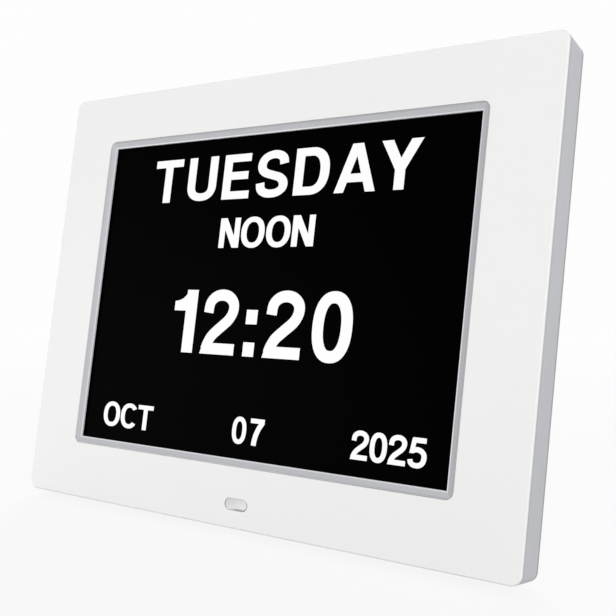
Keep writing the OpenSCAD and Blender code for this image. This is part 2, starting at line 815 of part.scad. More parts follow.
// The trim's cross-section: x runs outwards from the display, y is the depth
module trim_section() {
    polygon([[0, bevel_z], [0, flange_back], [trim_w + flange_w, flange_back],
        [trim_w + flange_w, flange_z], [trim_w, flange_z], [trim_w, trim_sink],
        [trim_w - land_w, trim_sink], [land_w, bevel_z - land_w / 5]]);
}

module screen_trim() color(trim_grey) stand_up() {
    // Four mitred rails, cut to the round outer corners of the bevel and of the flange
    reach = trim_w + flange_w;
    intersection() {
        translate([0, view_up, 0]) for (a = [0, 90, 180, 270]) {
            span = (a % 180 == 0 ? view_h : view_w) / 2 + reach;
            side = (a % 180 == 0 ? view_w : view_h) / 2;
            rotate(a) translate([side, span, 0]) rotate([90, 0, 0])
                linear_extrude(2 * span) trim_section();
        }
        union() {
            plate(trim_ow, trim_oh, trim_r, 0, flange_z, view_up);
            plate(trim_ow + 2 * flange_w, trim_oh + 2 * flange_w, trim_r, flange_z, panel_t, view_up);
        }
    }
}

module screen_gasket() color(black) stand_up()
    border(trim_ow + 2 * flange_w, trim_oh + 2 * flange_w, trim_r,
        trim_w + flange_w - hide_w, flange_back, panel_t, view_up);

module lcd_bezel() color(steel) stand_up() difference() {
    plate(lcd_w, lcd_h, 1, panel_t, tray_z, view_up);
    plate(lcd_w - 2 * lcd_skin, lcd_h - 2 * lcd_skin, 0.8, glass_z, tray_z + past, view_up);
    plate(view_w + 2 * hide_w, view_h + 2 * hide_w, 0.8, 0, glass_z + past, view_up);
}

// A layer inside the module's bezel
module layer(z0, z1, short) {
    gap = 2 * (lcd_skin + layer_gap);
    block([-(lcd_w - gap) / 2, lcd_bottom + gap / 2 + short, z0],
        [(lcd_w - gap) / 2, lcd_bottom + lcd_h - gap / 2, z1]);
}

module lcd_glass() color(black) stand_up() layer(glass_z, diffuser_z, 0);

module diffuser_sheet() color("#F2F3F0") stand_up() layer(diffuser_z, guide_z, 0);

module light_guide() color("#DDE6E8") stand_up() layer(guide_z, guide_z + guide_t, led_h + layer_gap);

module led_bar() color("#F3F1D8") stand_up() {
    low = lcd_bottom + lcd_skin + layer_gap;
    count = 18;
    pitch = (lcd_w - 4 * led_inset) / count;
    block([-lcd_w / 2 + led_inset, low, guide_z],
        [lcd_w / 2 - led_inset, low + 1, guide_z + guide_t]);
    for (k = [0:count - 1])
        block([(k - count / 2 + 0.2) * pitch, low + 1 - past / 4, guide_z + 0.4],
            [(k - count / 2 + 0.8) * pitch, low + led_h, guide_z + guide_t - 0.4]);
}

module lcd_tray() color(steel) stand_up() difference() {
    plate(lcd_w, lcd_h, 1, tray_z, lcd_back, view_up);
    for (k = [-1.5:1.5], s = [-0.5, 0.5])
        translate([k * tray_slot_pitch, view_up + s * tray_row_pitch, tray_z + tray_t / 2])
            oblong(tray_slot_l, tray_slot_w, tray_t);
}

module lcd_clips() color(steel) stand_up()
    for (s = [-1, 1], m = [0, 1]) mirror([m, 0, 0])
        translate([clip_x, view_up + s * clip_reach, lcd_back]) difference() {
            translate([-clip_out - clip_over, -clip_w / 2, 0])
                cube([clip_out + clip_over + clip_end, clip_w, clip_t]);
            translate([0, 0, -past]) cylinder(r = small_r + screw_gap, h = clip_t + 2 * past);
        }

module clip_screws() color(steel) stand_up()
    for (s = [-1, 1]) both_sides(clip_x) translate([0, view_up + s * clip_reach, lcd_back + clip_t])
        screw(small_r, clip_t + lcd_back - panel_t - 2 * past, small_head_r, small_head_h);

// The flat cable's route, as [height, depth] of its front side
ribbon_inset = 6;
ribbon_flat = 5.5;
ribbon_bend = 1.6;
ribbon_lift = 1.2;
ribbon_y0 = lcd_bottom + ribbon_inset;
ribbon_y1 = ribbon_y0 + ribbon_flat;
ribbon_y2 = board_y0 - ribbon_bend;
socket_y = board_y0 + 1;
ribbon_z2 = board_face + ribbon_lift;

module lcd_ribbon() color("#C98A2E") stand_up()
    translate([ribbon_x - ribbon_w / 2, 0, 0]) rotate([90, 0, 90]) linear_extrude(ribbon_w)
        polygon([[ribbon_y0, lcd_back], [ribbon_y1, lcd_back], [ribbon_y2, ribbon_z2],
            [socket_y, ribbon_z2], [socket_y, ribbon_z2 + ribbon_t],
            [ribbon_y2 - ribbon_t / 2, ribbon_z2 + ribbon_t],
            [ribbon_y1 - ribbon_t / 2, lcd_back + ribbon_t], [ribbon_y0, lcd_back + ribbon_t]]);

module ribbon_socket() color("#E8E4D8") stand_up()
    block([ribbon_x - ribbon_w / 2 - 2, socket_y, board_face],
        [ribbon_x + ribbon_w / 2 + 2, socket_y + 5, board_face + 2.4]);

// Infrared receiver

module ir_window() color("#D4D5D8") stand_up() translate([ir_right, ir_up, 0]) {
    translate([0, 0, ir_sink]) oblong(ir_w, ir_h, panel_t - ir_sink + past / 4);
    translate([0, 0, panel_t]) oblong(ir_w + 2 * ir_flange_w, ir_h + 2 * ir_flange_w, ir_flange_t);
}

ir_board_z = panel_t + ir_standoff;

module ir_board() color(board_green) stand_up() translate([ir_right, ir_up, ir_board_z])
    difference() {
        translate([-ir_board_w / 2, -ir_board_h / 2, 0]) cube([ir_board_w, ir_board_h, ir_board_t]);
        both_sides(ir_screw_reach) translate([0, 0, -past])
            cylinder(r = small_r + screw_gap, h = ir_board_t + 2 * past);
    }

module ir_receiver() color(black) stand_up() translate([ir_right, ir_up, ir_board_z - 1.6]) {
    translate([-2.8, -2.5, 0]) cube([5.6, 5, 1.6]);
    sphere(r = 0.9);
}

module ir_screws() color(steel) stand_up() translate([ir_right, ir_up, ir_board_z + ir_board_t])
    both_sides(ir_screw_reach) screw(small_r, ir_board_t + ir_standoff - past, small_head_r - 0.2, 1);

module ir_lead() color(black) stand_up() {
    x = ir_right + 4.5;
    sx = ir_socket_x;
    low = ir_board_z + ir_board_t;
    lead([[x, ir_up, low], [x, ir_up, low + 1.2], [x, ir_up + 4, lcd_back + 2.3],
        [x, back_up, lcd_back + 2.6], [(x + sx) / 2, back_up + 4, lcd_back + 3.6],
        [sx, board_y0 - 3, lead_z], [sx, board_y0 + 0.6, lead_z]], [1, 0, 0]);
}

// Electronics

module main_board() color(board_green) stand_up() difference() {
    block([board_x0, board_y0, board_z], [board_x1, board_y1, board_face]);
    for (h = board_holes) translate([h[0], h[1], board_z - past])
        cylinder(r = small_r + screw_gap, h = board_t + 2 * past);
}

// A chip on the main board: its middle, as shares of the board's width and height, and its size
module chip(u, v, l, w) {
    translate([board_x0 + u * board_w - l / 2, board_y0 + v * board_h - w / 2, board_face])
        cube([l, w, chip_t]);
}

module board_chips() color(black) stand_up() {
    chip(0.55, 0.56, main_chip_w, main_chip_w);
    for (p = [[0.34, 0.74], [0.2, 0.8], [0.66, 0.84], [0.74, 0.62], [0.74, 0.76]])
        chip(p[0], p[1], chip_l, chip_w);
    chip(0.84, 0.48, chip_l, chip_l);
}

module board_capacitors() color("#2C3A66") stand_up()
    for (p = [[0.72, 0.41], [0.64, 0.41], [0.88, 0.62], [0.57, 0.9]])
        translate([board_x0 + p[0] * board_w, board_y0 + p[1] * board_h, board_face])
            cylinder(r = capacitor_r, h = capacitor_h);

module board_screws() color(steel) stand_up()
    for (h = board_holes) translate([h[0], h[1], board_z]) mirror([0, 0, 1])
        screw(small_r, board_t + 3.6, small_head_r, small_head_h);

module cell_holder() color(black) stand_up() translate([cell_x, cell_y, board_face]) difference() {
    cylinder(r = cell_dia / 2 + cell_rim_t, h = cell_t + cell_base_t);
    translate([0, 0, cell_base_t]) cylinder(r = cell_dia / 2 + air / 2, h = cell_t + past);
    translate([-cell_slot_w / 2, 0, cell_base_t]) cube([cell_slot_w, cell_dia, cell_t + past]);
}

module coin_cell() color("#C9CCD0") stand_up()
    translate([cell_x, cell_y, board_face + cell_base_t]) {
        cylinder(d = cell_dia - 2, h = cell_step);
        translate([0, 0, cell_step]) cylinder(d = cell_dia, h = cell_t - cell_step);
    }

module lead_sockets() color("#E8E4D8") stand_up() {
    for (x = [speaker_socket_x, ir_socket_x])
        block([x - socket_w / 2, board_y0 + 0.6, board_face],
            [x + socket_w / 2, board_y0 + 0.6 + socket_l, board_face + socket_h]);
    block([key_socket_x - socket_w / 2, board_y1 - 0.6 - socket_l, board_face],
        [key_socket_x + socket_w / 2, board_y1 - 0.6, board_face + socket_h]);
}

module dc_jack() color(black) stand_up() difference() {
    block([inlet_x - inlet_l, inlet_y - inlet_w / 2, board_face],
        [inlet_x, inlet_y + inlet_w / 2, inlet_z + plug_dia / 2 + 1.1]);
    translate([inlet_x - inlet_deep, inlet_y, inlet_z]) rotate([0, 90, 0])
        cylinder(r = plug_dia / 2 + plug_gap, h = inlet_deep + past);
    translate([inlet_x - inlet_deep - past, inlet_y, inlet_z]) rotate([0, 90, 0])
        cylinder(r = inlet_pin_dia / 2, h = inlet_deep);
}

module dc_jack_pin() color("#C8B070") stand_up() {
    translate([inlet_x - inlet_deep - past, inlet_y, inlet_z]) rotate([0, 90, 0])
        cylinder(d = inlet_pin_dia, h = inlet_deep);
    translate([inlet_x - past, inlet_y, inlet_z]) sphere(d = inlet_pin_dia);
}

// Keys

module key_board() color(board_green) stand_up() difference() {
    block([-key_board_w / 2, key_y - key_board_h / 2, key_board_z],
        [key_board_w / 2, key_y + key_board_h / 2, key_board_face]);
    for (x = key_post_x) translate([x, key_y, key_board_z - past])
        cylinder(r = small_r + screw_gap, h = board_t + 2 * past);
}

module key_board_screws() color(steel) stand_up()
    for (x = key_post_x) translate([x, key_y, key_board_z]) mirror([0, 0, 1])
        screw(small_r, board_t + 3.6, small_head_r, small_head_h);

module key_lead() color(black) stand_up() {
    x = key_socket_x;
    y0 = board_y1 - 0.6;
    y1 = key_y - key_board_h / 2;
    z1 = key_board_face - board_t / 2;
    run = (y1 - y0) / 5;
    lead([[x, y0, lead_z], [x, y0 + run, lead_z], [x + 2, y0 + 2.5 * run, lead_z - 0.8],
        [x, y1 - run, z1], [x, y1, z1]], [1, 0, 0]);
}

module switch_bodies() color(black) stand_up()
    for (i = [0:len(key_names) - 1]) translate([key_x(i), key_y, key_board_face]) difference() {
        translate([-switch_w / 2, -switch_w / 2, 0]) cube([switch_w, switch_w, switch_h]);
        translate([0, 0, switch_h - plunger_in - key_travel - plunger_gap])
            cylinder(r = plunger_r + plunger_gap, h = switch_h);
    }

// Key number i: a cap with a flange that holds it behind the wall, and a stem to its switch
module key(i) color(white_abs) stand_up() translate([key_x(i), key_y, 0]) union() {
    soft = 0.5;
    top = back_z + key_proud;
    rotate_extrude() union() {
        translate([0, key_flange_z]) square([key_r, top - soft - key_flange_z]);
        translate([0, key_flange_z]) square([key_r - soft, top - key_flange_z]);
        translate([key_r - soft, top - soft]) intersection() {
            circle(soft);
            square(soft);
        }
        translate([0, key_flange_z]) square([key_flange_r, key_flange_t]);
        translate([0, stem_end]) square([stem_r, key_flange_z - stem_end + past / 4]);
    }
}

module plunger(i) color("#D8D2C0") stand_up()
    translate([key_x(i), key_y, switch_top - plunger_in])
        cylinder(r = plunger_r, h = plunger_in + plunger_out);

// Speaker

module speaker_frame() color(black) stand_up() translate([speaker_x, speaker_y, 0]) {
    inner_r = speaker_r - speaker_flange_w;
    sheet = 0.8;
    rotate_extrude() polygon([
        [magnet_r - 3, basket_lo], [magnet_r + 1.4, basket_lo], [inner_r + 0.4, flange_lo],
        [speaker_r, flange_lo], [speaker_r, roof_z], [inner_r, roof_z], [inner_r, flange_lo + 0.2],
        [magnet_r + 0.4, basket_lo + sheet], [magnet_r - 3, basket_lo + sheet]]);
}

module speaker_cone() color("#2A2A2C") stand_up() translate([speaker_x, speaker_y, 0]) {
    rim_r = speaker_r - speaker_flange_w - 0.1;
    rim_z = roof_z - 0.7;
    paper = 0.3;
    rotate_extrude() polygon([
        [0, basket_lo + 1.6], [3, basket_lo + 1.6], [rim_r - 0.8, rim_z], [rim_r, rim_z],
        [rim_r, rim_z + paper], [rim_r - 1, rim_z + paper], [3, basket_lo + 2.1], [0, basket_lo + 2.6]]);
}

module speaker_magnet() color(steel) stand_up() translate([speaker_x, speaker_y, magnet_lo]) {
    cylinder(r = magnet_r, h = magnet_t);
    translate([0, 0, magnet_t - past / 4]) cylinder(r = magnet_r - 3.2, h = 1 + past / 4);
}

module speaker_screws() color(steel) stand_up()
    for (a = [90, 210, 330]) translate([speaker_x, speaker_y, flange_lo]) rotate(a)
        translate([speaker_post_r, 0, 0]) mirror([0, 0, 1])
            screw(small_r, 2.1, small_r + 1.6, small_head_h);

module speaker_lead() color("#B03030") stand_up() {
    sx = speaker_socket_x;
    lead([[speaker_x + magnet_r, speaker_y, magnet_lo + 1.5],
        [speaker_x + magnet_r + 2, speaker_y, magnet_lo + 1.5],
        [speaker_x + magnet_r + 6, speaker_y - 6, magnet_lo + 1],
        [speaker_x + 18, board_y0 + 2, lead_z - 0.6], [speaker_x + 32, board_y0 - 4, lead_z],
        [sx - 6, board_y0 - 4.5, lead_z], [sx, board_y0 - 2.4, lead_z], [sx, board_y0 + 0.6, lead_z]],
        [0.3, 0.3, 1]);
}

// Stand

// Outline of the leg: straight at the hinge, narrower and round-cornered at the tip
module leg_outline() {
    end = hinge_rise - leg_l;
    slope = atan((leg_w - tip_w) / 2 / leg_l);
    cx = tip_w / 2 + tip_r * tan(slope) - tip_r / cos(slope);
    cy = end + tip_r;
    tx = cx + tip_r * cos(slope);
    ty = cy - tip_r * sin(slope);
    union() {
        polygon([[-leg_w / 2, hinge_rise + heel_h], [leg_w / 2, hinge_rise + heel_h],
            [leg_w / 2, hinge_rise], [tx, ty], [cx, cy], [cx, end], [-cx, end], [-cx, cy], [-tx, ty],
            [-leg_w / 2, hinge_rise]]);
        for (s = [-1, 1]) translate([s * cx, cy]) circle(tip_r);
    }
}

module stand_leg() color(silver_abs) stand_up() difference() {
    opened() difference() {
        union() {
            translate([0, 0, leg_z]) linear_extrude(leg_t) leg_outline();
            at_hinge() translate([-leg_w / 2, 0, 0]) rotate([0, 90, 0])
                cylinder(r = barrel_r, h = leg_w);
            for (k = [0:2])
                translate([0, hinge_rise - leg_l + grip_up + k * grip_pitch, leg_z + leg_t - past / 4])
                    oblong(grip_l, grip_w, past / 4 + grip_h);
        }
        at_hinge() translate([-leg_w / 2 - past, 0, 0]) rotate([0, 90, 0])
            cylinder(r = pin_r + pin_gap, h = leg_w + 2 * past);
    }
    // The heel is cut flat where it lands on the pocket's floor
    block([-leg_w, hinge_rise - 4 * heel_h, 0],
        [leg_w, hinge_rise + 4 * heel_h, pocket_z + stop_gap]);
}

module hinge_pin() color(steel) stand_up() at_hinge()
    translate([-pocket_w / 2 - pin_hold, 0, 0]) rotate([0, 90, 0])
        cylinder(r = pin_r, h = pocket_w + 2 * pin_hold);

module leg_pad() color(rubber) difference() {
    stand_up() opened()
        block([-pad_w / 2, hinge_rise - leg_l - 2 * pad_l, leg_z - pad_proud],
            [pad_w / 2, hinge_rise - leg_l, leg_z + leg_t + pad_proud]);
    below_floor();
}

front_panel();
mid_frame();
rear_cover();
case_screws();
bottom_feet();
screen_trim();
screen_gasket();
lcd_bezel();
lcd_glass();
diffuser_sheet();
light_guide();
led_bar();
lcd_tray();
lcd_clips();
clip_screws();
lcd_ribbon();
ribbon_socket();
ir_window();
ir_board();
ir_receiver();
ir_screws();
ir_lead();
main_board();
board_chips();
board_capacitors();
board_screws();
cell_holder();
coin_cell();
lead_sockets();
dc_jack();
dc_jack_pin();
key_board();
key_board_screws();
key_lead();
switch_bodies();
key(0);  // key_power
key(1);  // key_menu
key(2);  // key_up
key(3);  // key_down
key(4);  // key_left
key(5);  // key_right
key(6);  // key_exit
plunger(0);  // plunger_power
plunger(1);  // plunger_menu
plunger(2);  // plunger_up
plunger(3);  // plunger_down
plunger(4);  // plunger_left
plunger(5);  // plunger_right
plunger(6);  // plunger_exit
speaker_frame();
speaker_cone();
speaker_magnet();
speaker_screws();
speaker_lead();
stand_leg();
hinge_pin();
leg_pad();
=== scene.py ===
# %% [markdown]
# # A leaning day clock, dressed for its picture
#
# The clock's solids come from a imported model: a white front, two silver-grey shells, a display
# module, seven keys and a stand leg. This lesson adds the camera, the light, the finishes and
# the lit lettering of the display. Lengths are in metres unless a line says otherwise, in the
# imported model's own frame: +X to the right seen from the front, -Y towards the viewer, +Z up.

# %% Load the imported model
import json
import math
import bpy
import numpy as np
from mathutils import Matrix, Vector


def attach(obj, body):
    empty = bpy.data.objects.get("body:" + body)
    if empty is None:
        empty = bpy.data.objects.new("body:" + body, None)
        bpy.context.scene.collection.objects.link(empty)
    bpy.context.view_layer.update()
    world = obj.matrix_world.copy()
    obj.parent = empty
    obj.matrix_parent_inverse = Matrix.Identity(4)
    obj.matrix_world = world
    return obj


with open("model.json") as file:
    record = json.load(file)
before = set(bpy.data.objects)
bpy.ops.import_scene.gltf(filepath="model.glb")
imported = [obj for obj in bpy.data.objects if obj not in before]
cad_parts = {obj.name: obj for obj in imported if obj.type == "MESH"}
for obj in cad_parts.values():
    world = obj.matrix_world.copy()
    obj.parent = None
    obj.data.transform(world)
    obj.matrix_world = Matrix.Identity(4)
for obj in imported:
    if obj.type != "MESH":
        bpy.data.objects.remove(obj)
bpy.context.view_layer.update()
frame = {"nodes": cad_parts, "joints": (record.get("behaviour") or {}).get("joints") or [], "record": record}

# %% [markdown]
# ## The clock's own directions
#
# The case leans back, so a place on its face is easiest to give as across, up the face and
# depth behind it. The keys slide straight into the case, so the axis of their joints is the
# depth direction. It is read from the model here, and the lean then follows the model by itself.

# %% Directions of the leaning face
press = next(j for j in frame["joints"] if j["name"] == "menu_press")
DEPTH = -np.array(press["axis"], float)
DEPTH /= np.linalg.norm(DEPTH)
ACROSS = np.array([1.0, 0.0, 0.0])
UP = np.cross(ACROSS, DEPTH)
print("lean:", round(math.degrees(math.asin(-DEPTH[2])), 2), "degrees")

# %% Places on the face
MM = 0.001


def face_coordinates(name):
    """A node's vertices as rows of (across, up the face, depth): each is the dot product of the
    vertex with that direction."""
    mesh = frame["nodes"][name].data
    points = np.empty(len(mesh.vertices) * 3, np.float32)
    mesh.vertices.foreach_get("co", points)
    return points.reshape(-1, 3).astype(float) @ np.stack([ACROSS, UP, DEPTH], 1)


def on_face(across, up, depth):
    """Points in the model's frame from places on the face: across, up and depth times their
    directions, added together."""
    across, up, depth = np.broadcast_arrays(across, up, depth)
    return (across[..., None] * ACROSS + up[..., None] * UP + depth[..., None] * DEPTH)


print("one millimetre:", MM, "m")

# %% Edges of the visible display
# The trim's back is a flat ring, and its inner edge is the edge of the visible display.
trim = face_coordinates("screen_trim")
trim = trim[trim[:, 2] > trim[:, 2].max() - 0.1 * MM]
view_half_w = np.abs(trim[:, 0]).min()
view_mid = (trim[:, 1].max() + trim[:, 1].min()) / 2
view_half_h = np.abs(trim[:, 1] - view_mid).min()
glass_front = face_coordinates("lcd_glass")[:, 2].min()
panel_front = face_coordinates("front_panel")[:, 2].min()
print("visible display, mm:", [round(2 * half / MM, 1) for half in (view_half_w, view_half_h)])

# %% [markdown]
# ## The camera
#
# The photograph was taken from the right of the clock, a little above its middle, with a normal
# lens from close by, so the near side looks clearly larger. Its place was solved from the corners
# of the front and of the display. The solution puts the lens's axis a little below the middle of
# the picture, as in one that was cut from a larger frame, and a small upward shift does that here.

# %% Camera
camera_data = bpy.data.cameras.new("camera")
camera_data.sensor_width = 36.0
camera_data.lens = 52.153
camera_data.shift_y = 0.06764
camera_data.clip_start = 0.01
camera_data.clip_end = 50.0
camera = bpy.data.objects.new("camera", camera_data)
bpy.context.scene.collection.objects.link(camera)
camera.location = (0.197477, -0.271609, 0.094829)
camera.rotation_euler = (math.radians(90 - 5.122), 0.0, math.radians(34.180))
bpy.context.scene.camera = camera
print("camera:", tuple(round(v, 3) for v in camera.location))

# %% [markdown]
# ## Colour and node helpers
#
# Colours are written as the hex values that a picture editor shows, and the renderer wants them
# linear, so one function turns them. One more function adds a shader node with its settings and
# links, which keeps each material below short enough to read as a recipe.

# %% Helpers for materials


def linear(hex_colour):
    """Linear RGBA of an sRGB hex colour: each channel c becomes ((c + 0.055) / 1.055) ^ 2.4, or
    c / 12.92 where it is very dark."""
    c = np.array([int(hex_colour[i:i + 2], 16) for i in (1, 3, 5)]) / 255
    c = np.where(c <= 0.04045, c / 12.92, ((c + 0.055) / 1.055) ** 2.4)
    return (*c.tolist(), 1.0)


def add(owner, kind, inputs=None, **settings):
    """Adds a node to a material or a world, applies its settings, and fills its inputs with
    values or links."""
    tree = owner.node_tree
    node = tree.nodes.new(kind)
    for name, value in settings.items():
        setattr(node, name, value)
    for name, value in (inputs or {}).items():
        if isinstance(value, bpy.types.NodeSocket):
            tree.links.new(value, node.inputs[name])
        else:
            node.inputs[name].default_value = value
    return node


def start(name, **sockets):
    """A new material with a principled shader, whose plain values are set on its own sockets.
    It comes back with that shader and with the place on the piece, for patterns."""
    material = bpy.data.materials.new(name)
    material.use_nodes = True
    shader = material.node_tree.nodes["Principled BSDF"]
    for socket, value in sockets.items():
        shader.inputs[socket.replace("_", " ")].default_value = value
    place = add(material, "ShaderNodeTexCoord").outputs["Object"]
    return material, shader, place


print("a mid grey #808080 is", round(linear("#808080")[0], 3), "linear")

# %% Values that the materials share
# A Mix node has number and colour sockets of the same names, so these are picked by position.
MIX_A, MIX_B, MIXED = 6, 7, 2
# A noise stays mostly between these values, so they are the ends of its useful range.
NOISE_ENDS = {"From Min": 0.3, "From Max": 0.7}
materials = {}
print("a mix node takes its colours at", MIX_A, "and", MIX_B, "and gives the result at", MIXED)

# %% [markdown]
# ## Moulded plastic
#
# The shells are injection-moulded ABS. The mould is spark-eroded, which leaves a fine even
# grain, so the plastic looks matt and hides finger marks. Two noises make that: one at the grain
# of the mould tilts the surface and breaks up the shine, and a wide one shifts the tone by about
# one per cent, as the pigment and the cooling do. A real grain is about 0.05 mm, far below one
# pixel here, so it is drawn several times coarser.

# %% Moulded plastics
DRIFT = 60 * MM


def moulded(name, colour, other, grain, depth, rough, ior=1.54):
    """A moulded plastic: its colour drifts towards the other over DRIFT, and a grain of the given
    size tilts the surface by depth and moves the roughness between two values."""
    m, shader, place = start(name, IOR=ior)
    wide = add(m, "ShaderNodeTexNoise", {"Vector": place, "Scale": 1 / DRIFT, "Detail": 3.0})
    fine = add(m, "ShaderNodeTexNoise", {"Vector": place, "Scale": 1 / grain, "Detail": 2.0})
    tone = add(m, "ShaderNodeMix", {"Factor": wide.outputs["Fac"], MIX_A: linear(colour),
                                    MIX_B: linear(other)}, data_type="RGBA")
    gloss = add(m, "ShaderNodeMapRange", {"Value": fine.outputs["Fac"], **NOISE_ENDS,
                                          "To Min": rough[0], "To Max": rough[1]})
    bump = add(m, "ShaderNodeBump", {"Height": fine.outputs["Fac"], "Strength": 0.35,
                                     "Distance": depth})
    link = m.node_tree.links.new
    link(tone.outputs[MIXED], shader.inputs["Base Color"])
    link(gloss.outputs["Result"], shader.inputs["Roughness"])
    link(bump.outputs["Normal"], shader.inputs["Normal"])
    materials[name] = m


# White ABS with a fine matt grain: soft, wide highlights and no mirror images.
moulded("white_abs", "#F1F1F0", "#EEEEEE", 0.45 * MM, 0.02 * MM, (0.44, 0.54))
# Silver-grey ABS, coloured with fine aluminium pigment: a cool grey, a touch glossier.
moulded("silver_abs", "#B6B7BB", "#B1B2B7", 0.45 * MM, 0.02 * MM, (0.38, 0.48))
# Satin silver-grey trim: its mould is stoned smooth, so it reflects more than the shells.
moulded("trim_abs", "#BFC0C4", "#BBBCC0", 0.30 * MM, 0.01 * MM, (0.26, 0.34))
# Black filled resin of chips, switches, the inlet and the speaker's frame: dull, a bit chalky.
moulded("black_resin", "#1D1E20", "#18191B", 0.30 * MM, 0.02 * MM, (0.48, 0.62), ior=1.56)
# Natural nylon sockets: warm off-white with a waxy look.
moulded("socket_nylon", "#E9E5D9", "#E4DFD1", 0.50 * MM, 0.01 * MM, (0.38, 0.46), ior=1.53)
# Natural nylon plungers: the same plastic, slightly yellower.
moulded("plunger_nylon", "#D9D3C1", "#D4CDB9", 0.40 * MM, 0.01 * MM, (0.36, 0.44), ior=1.53)
# Shrunk sleeve on the capacitors: thin glossy film.
moulded("capacitor_sleeve", "#2E3D6A", "#2A3862", 0.60 * MM, 0.01 * MM, (0.18, 0.26), ior=1.50)
# Leads: soft extruded vinyl, even and slightly oily.
moulded("lead_black", "#1E1F21", "#19191B", 0.80 * MM, 0.02 * MM, (0.40, 0.50), ior=1.52)
moulded("lead_red", "#B23333", "#A92D2D", 0.80 * MM, 0.02 * MM, (0.40, 0.50), ior=1.52)
print("moulded plastics:", len(materials))

# %% [markdown]
# A few narrow strips of the shells and the trim read darker or lighter than the rest: a seam
# gathers a little shade, a rounded edge turns away from the light, a lip catches a highlight. They
# are narrower than two pixels here, and geometry alone would be lost between the pixels. Each of
# them runs round the case at one depth, so this shade and highlight are painted on with a grey
# ramp over the depth behind the face.

# %% Shade and highlight painted on strips by their depth


def painted_light_by_depth(name, stops):
    """Paints shade and highlight on a finish: multiplies its colour by a grey that follows the depth
    behind the face, from the first to the last of the stops, given in millimetres."""
    m = materials[name]
    colour = m.node_tree.nodes["Principled BSDF"].inputs["Base Color"]
    place = add(m, "ShaderNodeTexCoord").outputs["Object"]
    depth = add(m, "ShaderNodeVectorMath", {0: place, 1: DEPTH.tolist()}, operation="DOT_PRODUCT")
    near, far = stops[0][0], stops[-1][0]
    share = add(m, "ShaderNodeMapRange", {
        "Value": depth.outputs["Value"], "From Min": panel_front + near * MM,
        "From Max": panel_front + far * MM})
    grey = add(m, "ShaderNodeValToRGB", {"Fac": share.outputs["Result"]})
    while len(grey.color_ramp.elements) < len(stops):
        grey.color_ramp.elements.new(0.5)
    for element, (at, level) in zip(grey.color_ramp.elements, stops):
        element.position = (at - near) / (far - near)
        element.color = (level, level, level, 1.0)
    product = add(m, "ShaderNodeMix", {"Factor": 1.0, MIX_A: colour.links[0].from_socket,
                                       MIX_B: grey.outputs["Color"]},
                  data_type="RGBA", blend_type="MULTIPLY")
    m.node_tree.links.new(product.outputs[MIXED], colour)


# The edge of the white panel, behind its face, gets painted shade, a touch greyer than the face, where it
# turns from the light.
painted_light_by_depth("white_abs", [(0.0, 1.0), (0.04, 1.0), (0.12, 0.88), (0.7, 0.88), (0.8, 1.0),
                             (1.0, 1.0)])
# The trim's outer rim lies a little below the panel, and painted shade keeps it darker there; its
# inner lip gets a painted highlight.
painted_light_by_depth("trim_abs", [(0.0, 0.80), (0.16, 0.82), (0.24, 1.0), (0.84, 1.0), (0.93, 1.32),
                            (1.2, 1.32)])
# The shells get painted shade, a little darker next to the seam with the panel, and their rounded
# rear edge turns away from the light, so painted shade shows it as a fine dark line.
painted_light_by_depth("silver_abs", [(0.0, 0.86), (1.5, 0.86), (2.2, 1.0), (12.2, 0.97), (12.6, 0.64),
                              (13.93, 0.55), (13.97, 1.0), (14.6, 1.0)])
print("toned: white_abs, trim_abs, silver_abs")

# %% [markdown]
# ## Rubber, foam and pressed paper
#
# Soft black pieces take light almost without shine. Rubber has a dusty bloom, foam is full of
# small open cells, and the speaker's cone is felted from fibres. Each is the same recipe with a
# pattern of its own size: cells of about 0.4 mm for foam and fibres of about 0.7 mm for paper.

# %% Soft black pieces


def matt_black(name, colour, bloom, cell, depth, rough):
    """A matt soft material: its bloom follows a wide noise, and a cell pattern tilts it."""
    m, shader, place = start(name, IOR=1.5, Roughness=rough)
    cells = add(m, "ShaderNodeTexVoronoi", {"Vector": place, "Scale": 1 / cell})
    dust = add(m, "ShaderNodeTexNoise", {"Vector": place, "Scale": 1 / (4 * MM), "Detail": 4.0})
    tone = add(m, "ShaderNodeMix", {"Factor": dust.outputs["Fac"], MIX_A: linear(colour),
                                    MIX_B: linear(bloom)}, data_type="RGBA")
    bump = add(m, "ShaderNodeBump", {"Height": cells.outputs["Distance"], "Strength": 0.5,
                                     "Distance": depth})
    m.node_tree.links.new(tone.outputs[MIXED], shader.inputs["Base Color"])
    m.node_tree.links.new(bump.outputs["Normal"], shader.inputs["Normal"])
    materials[name] = m


# Nitrile rubber feet and pad: dark grey with a light bloom.
matt_black("rubber", "#353638", "#414244", 0.5 * MM, 0.03 * MM, 0.72)
# Closed-cell foam gasket: deep black, no shine.
matt_black("foam", "#151618", "#1D1E20", 0.4 * MM, 0.08 * MM, 0.9)
# Pressed paper cone: dark grey fibres.
matt_black("cone_paper", "#262628", "#323234", 0.7 * MM, 0.05 * MM, 0.85)
print("soft finishes:", list(materials)[-3:])

# %% [markdown]
# ## Plated metal
#
# The screws are zinc-plated steel and the display module's shell is tin-plated sheet. Rolling
# leaves long fine streaks in sheet, and tumbling leaves even speckles on screws. A noise that is
# stretched along one direction gives the streaks, and the same noise unstretched the speckles.
# Metals keep the default IOR, and their colour is their reflection.

# %% Plated metals


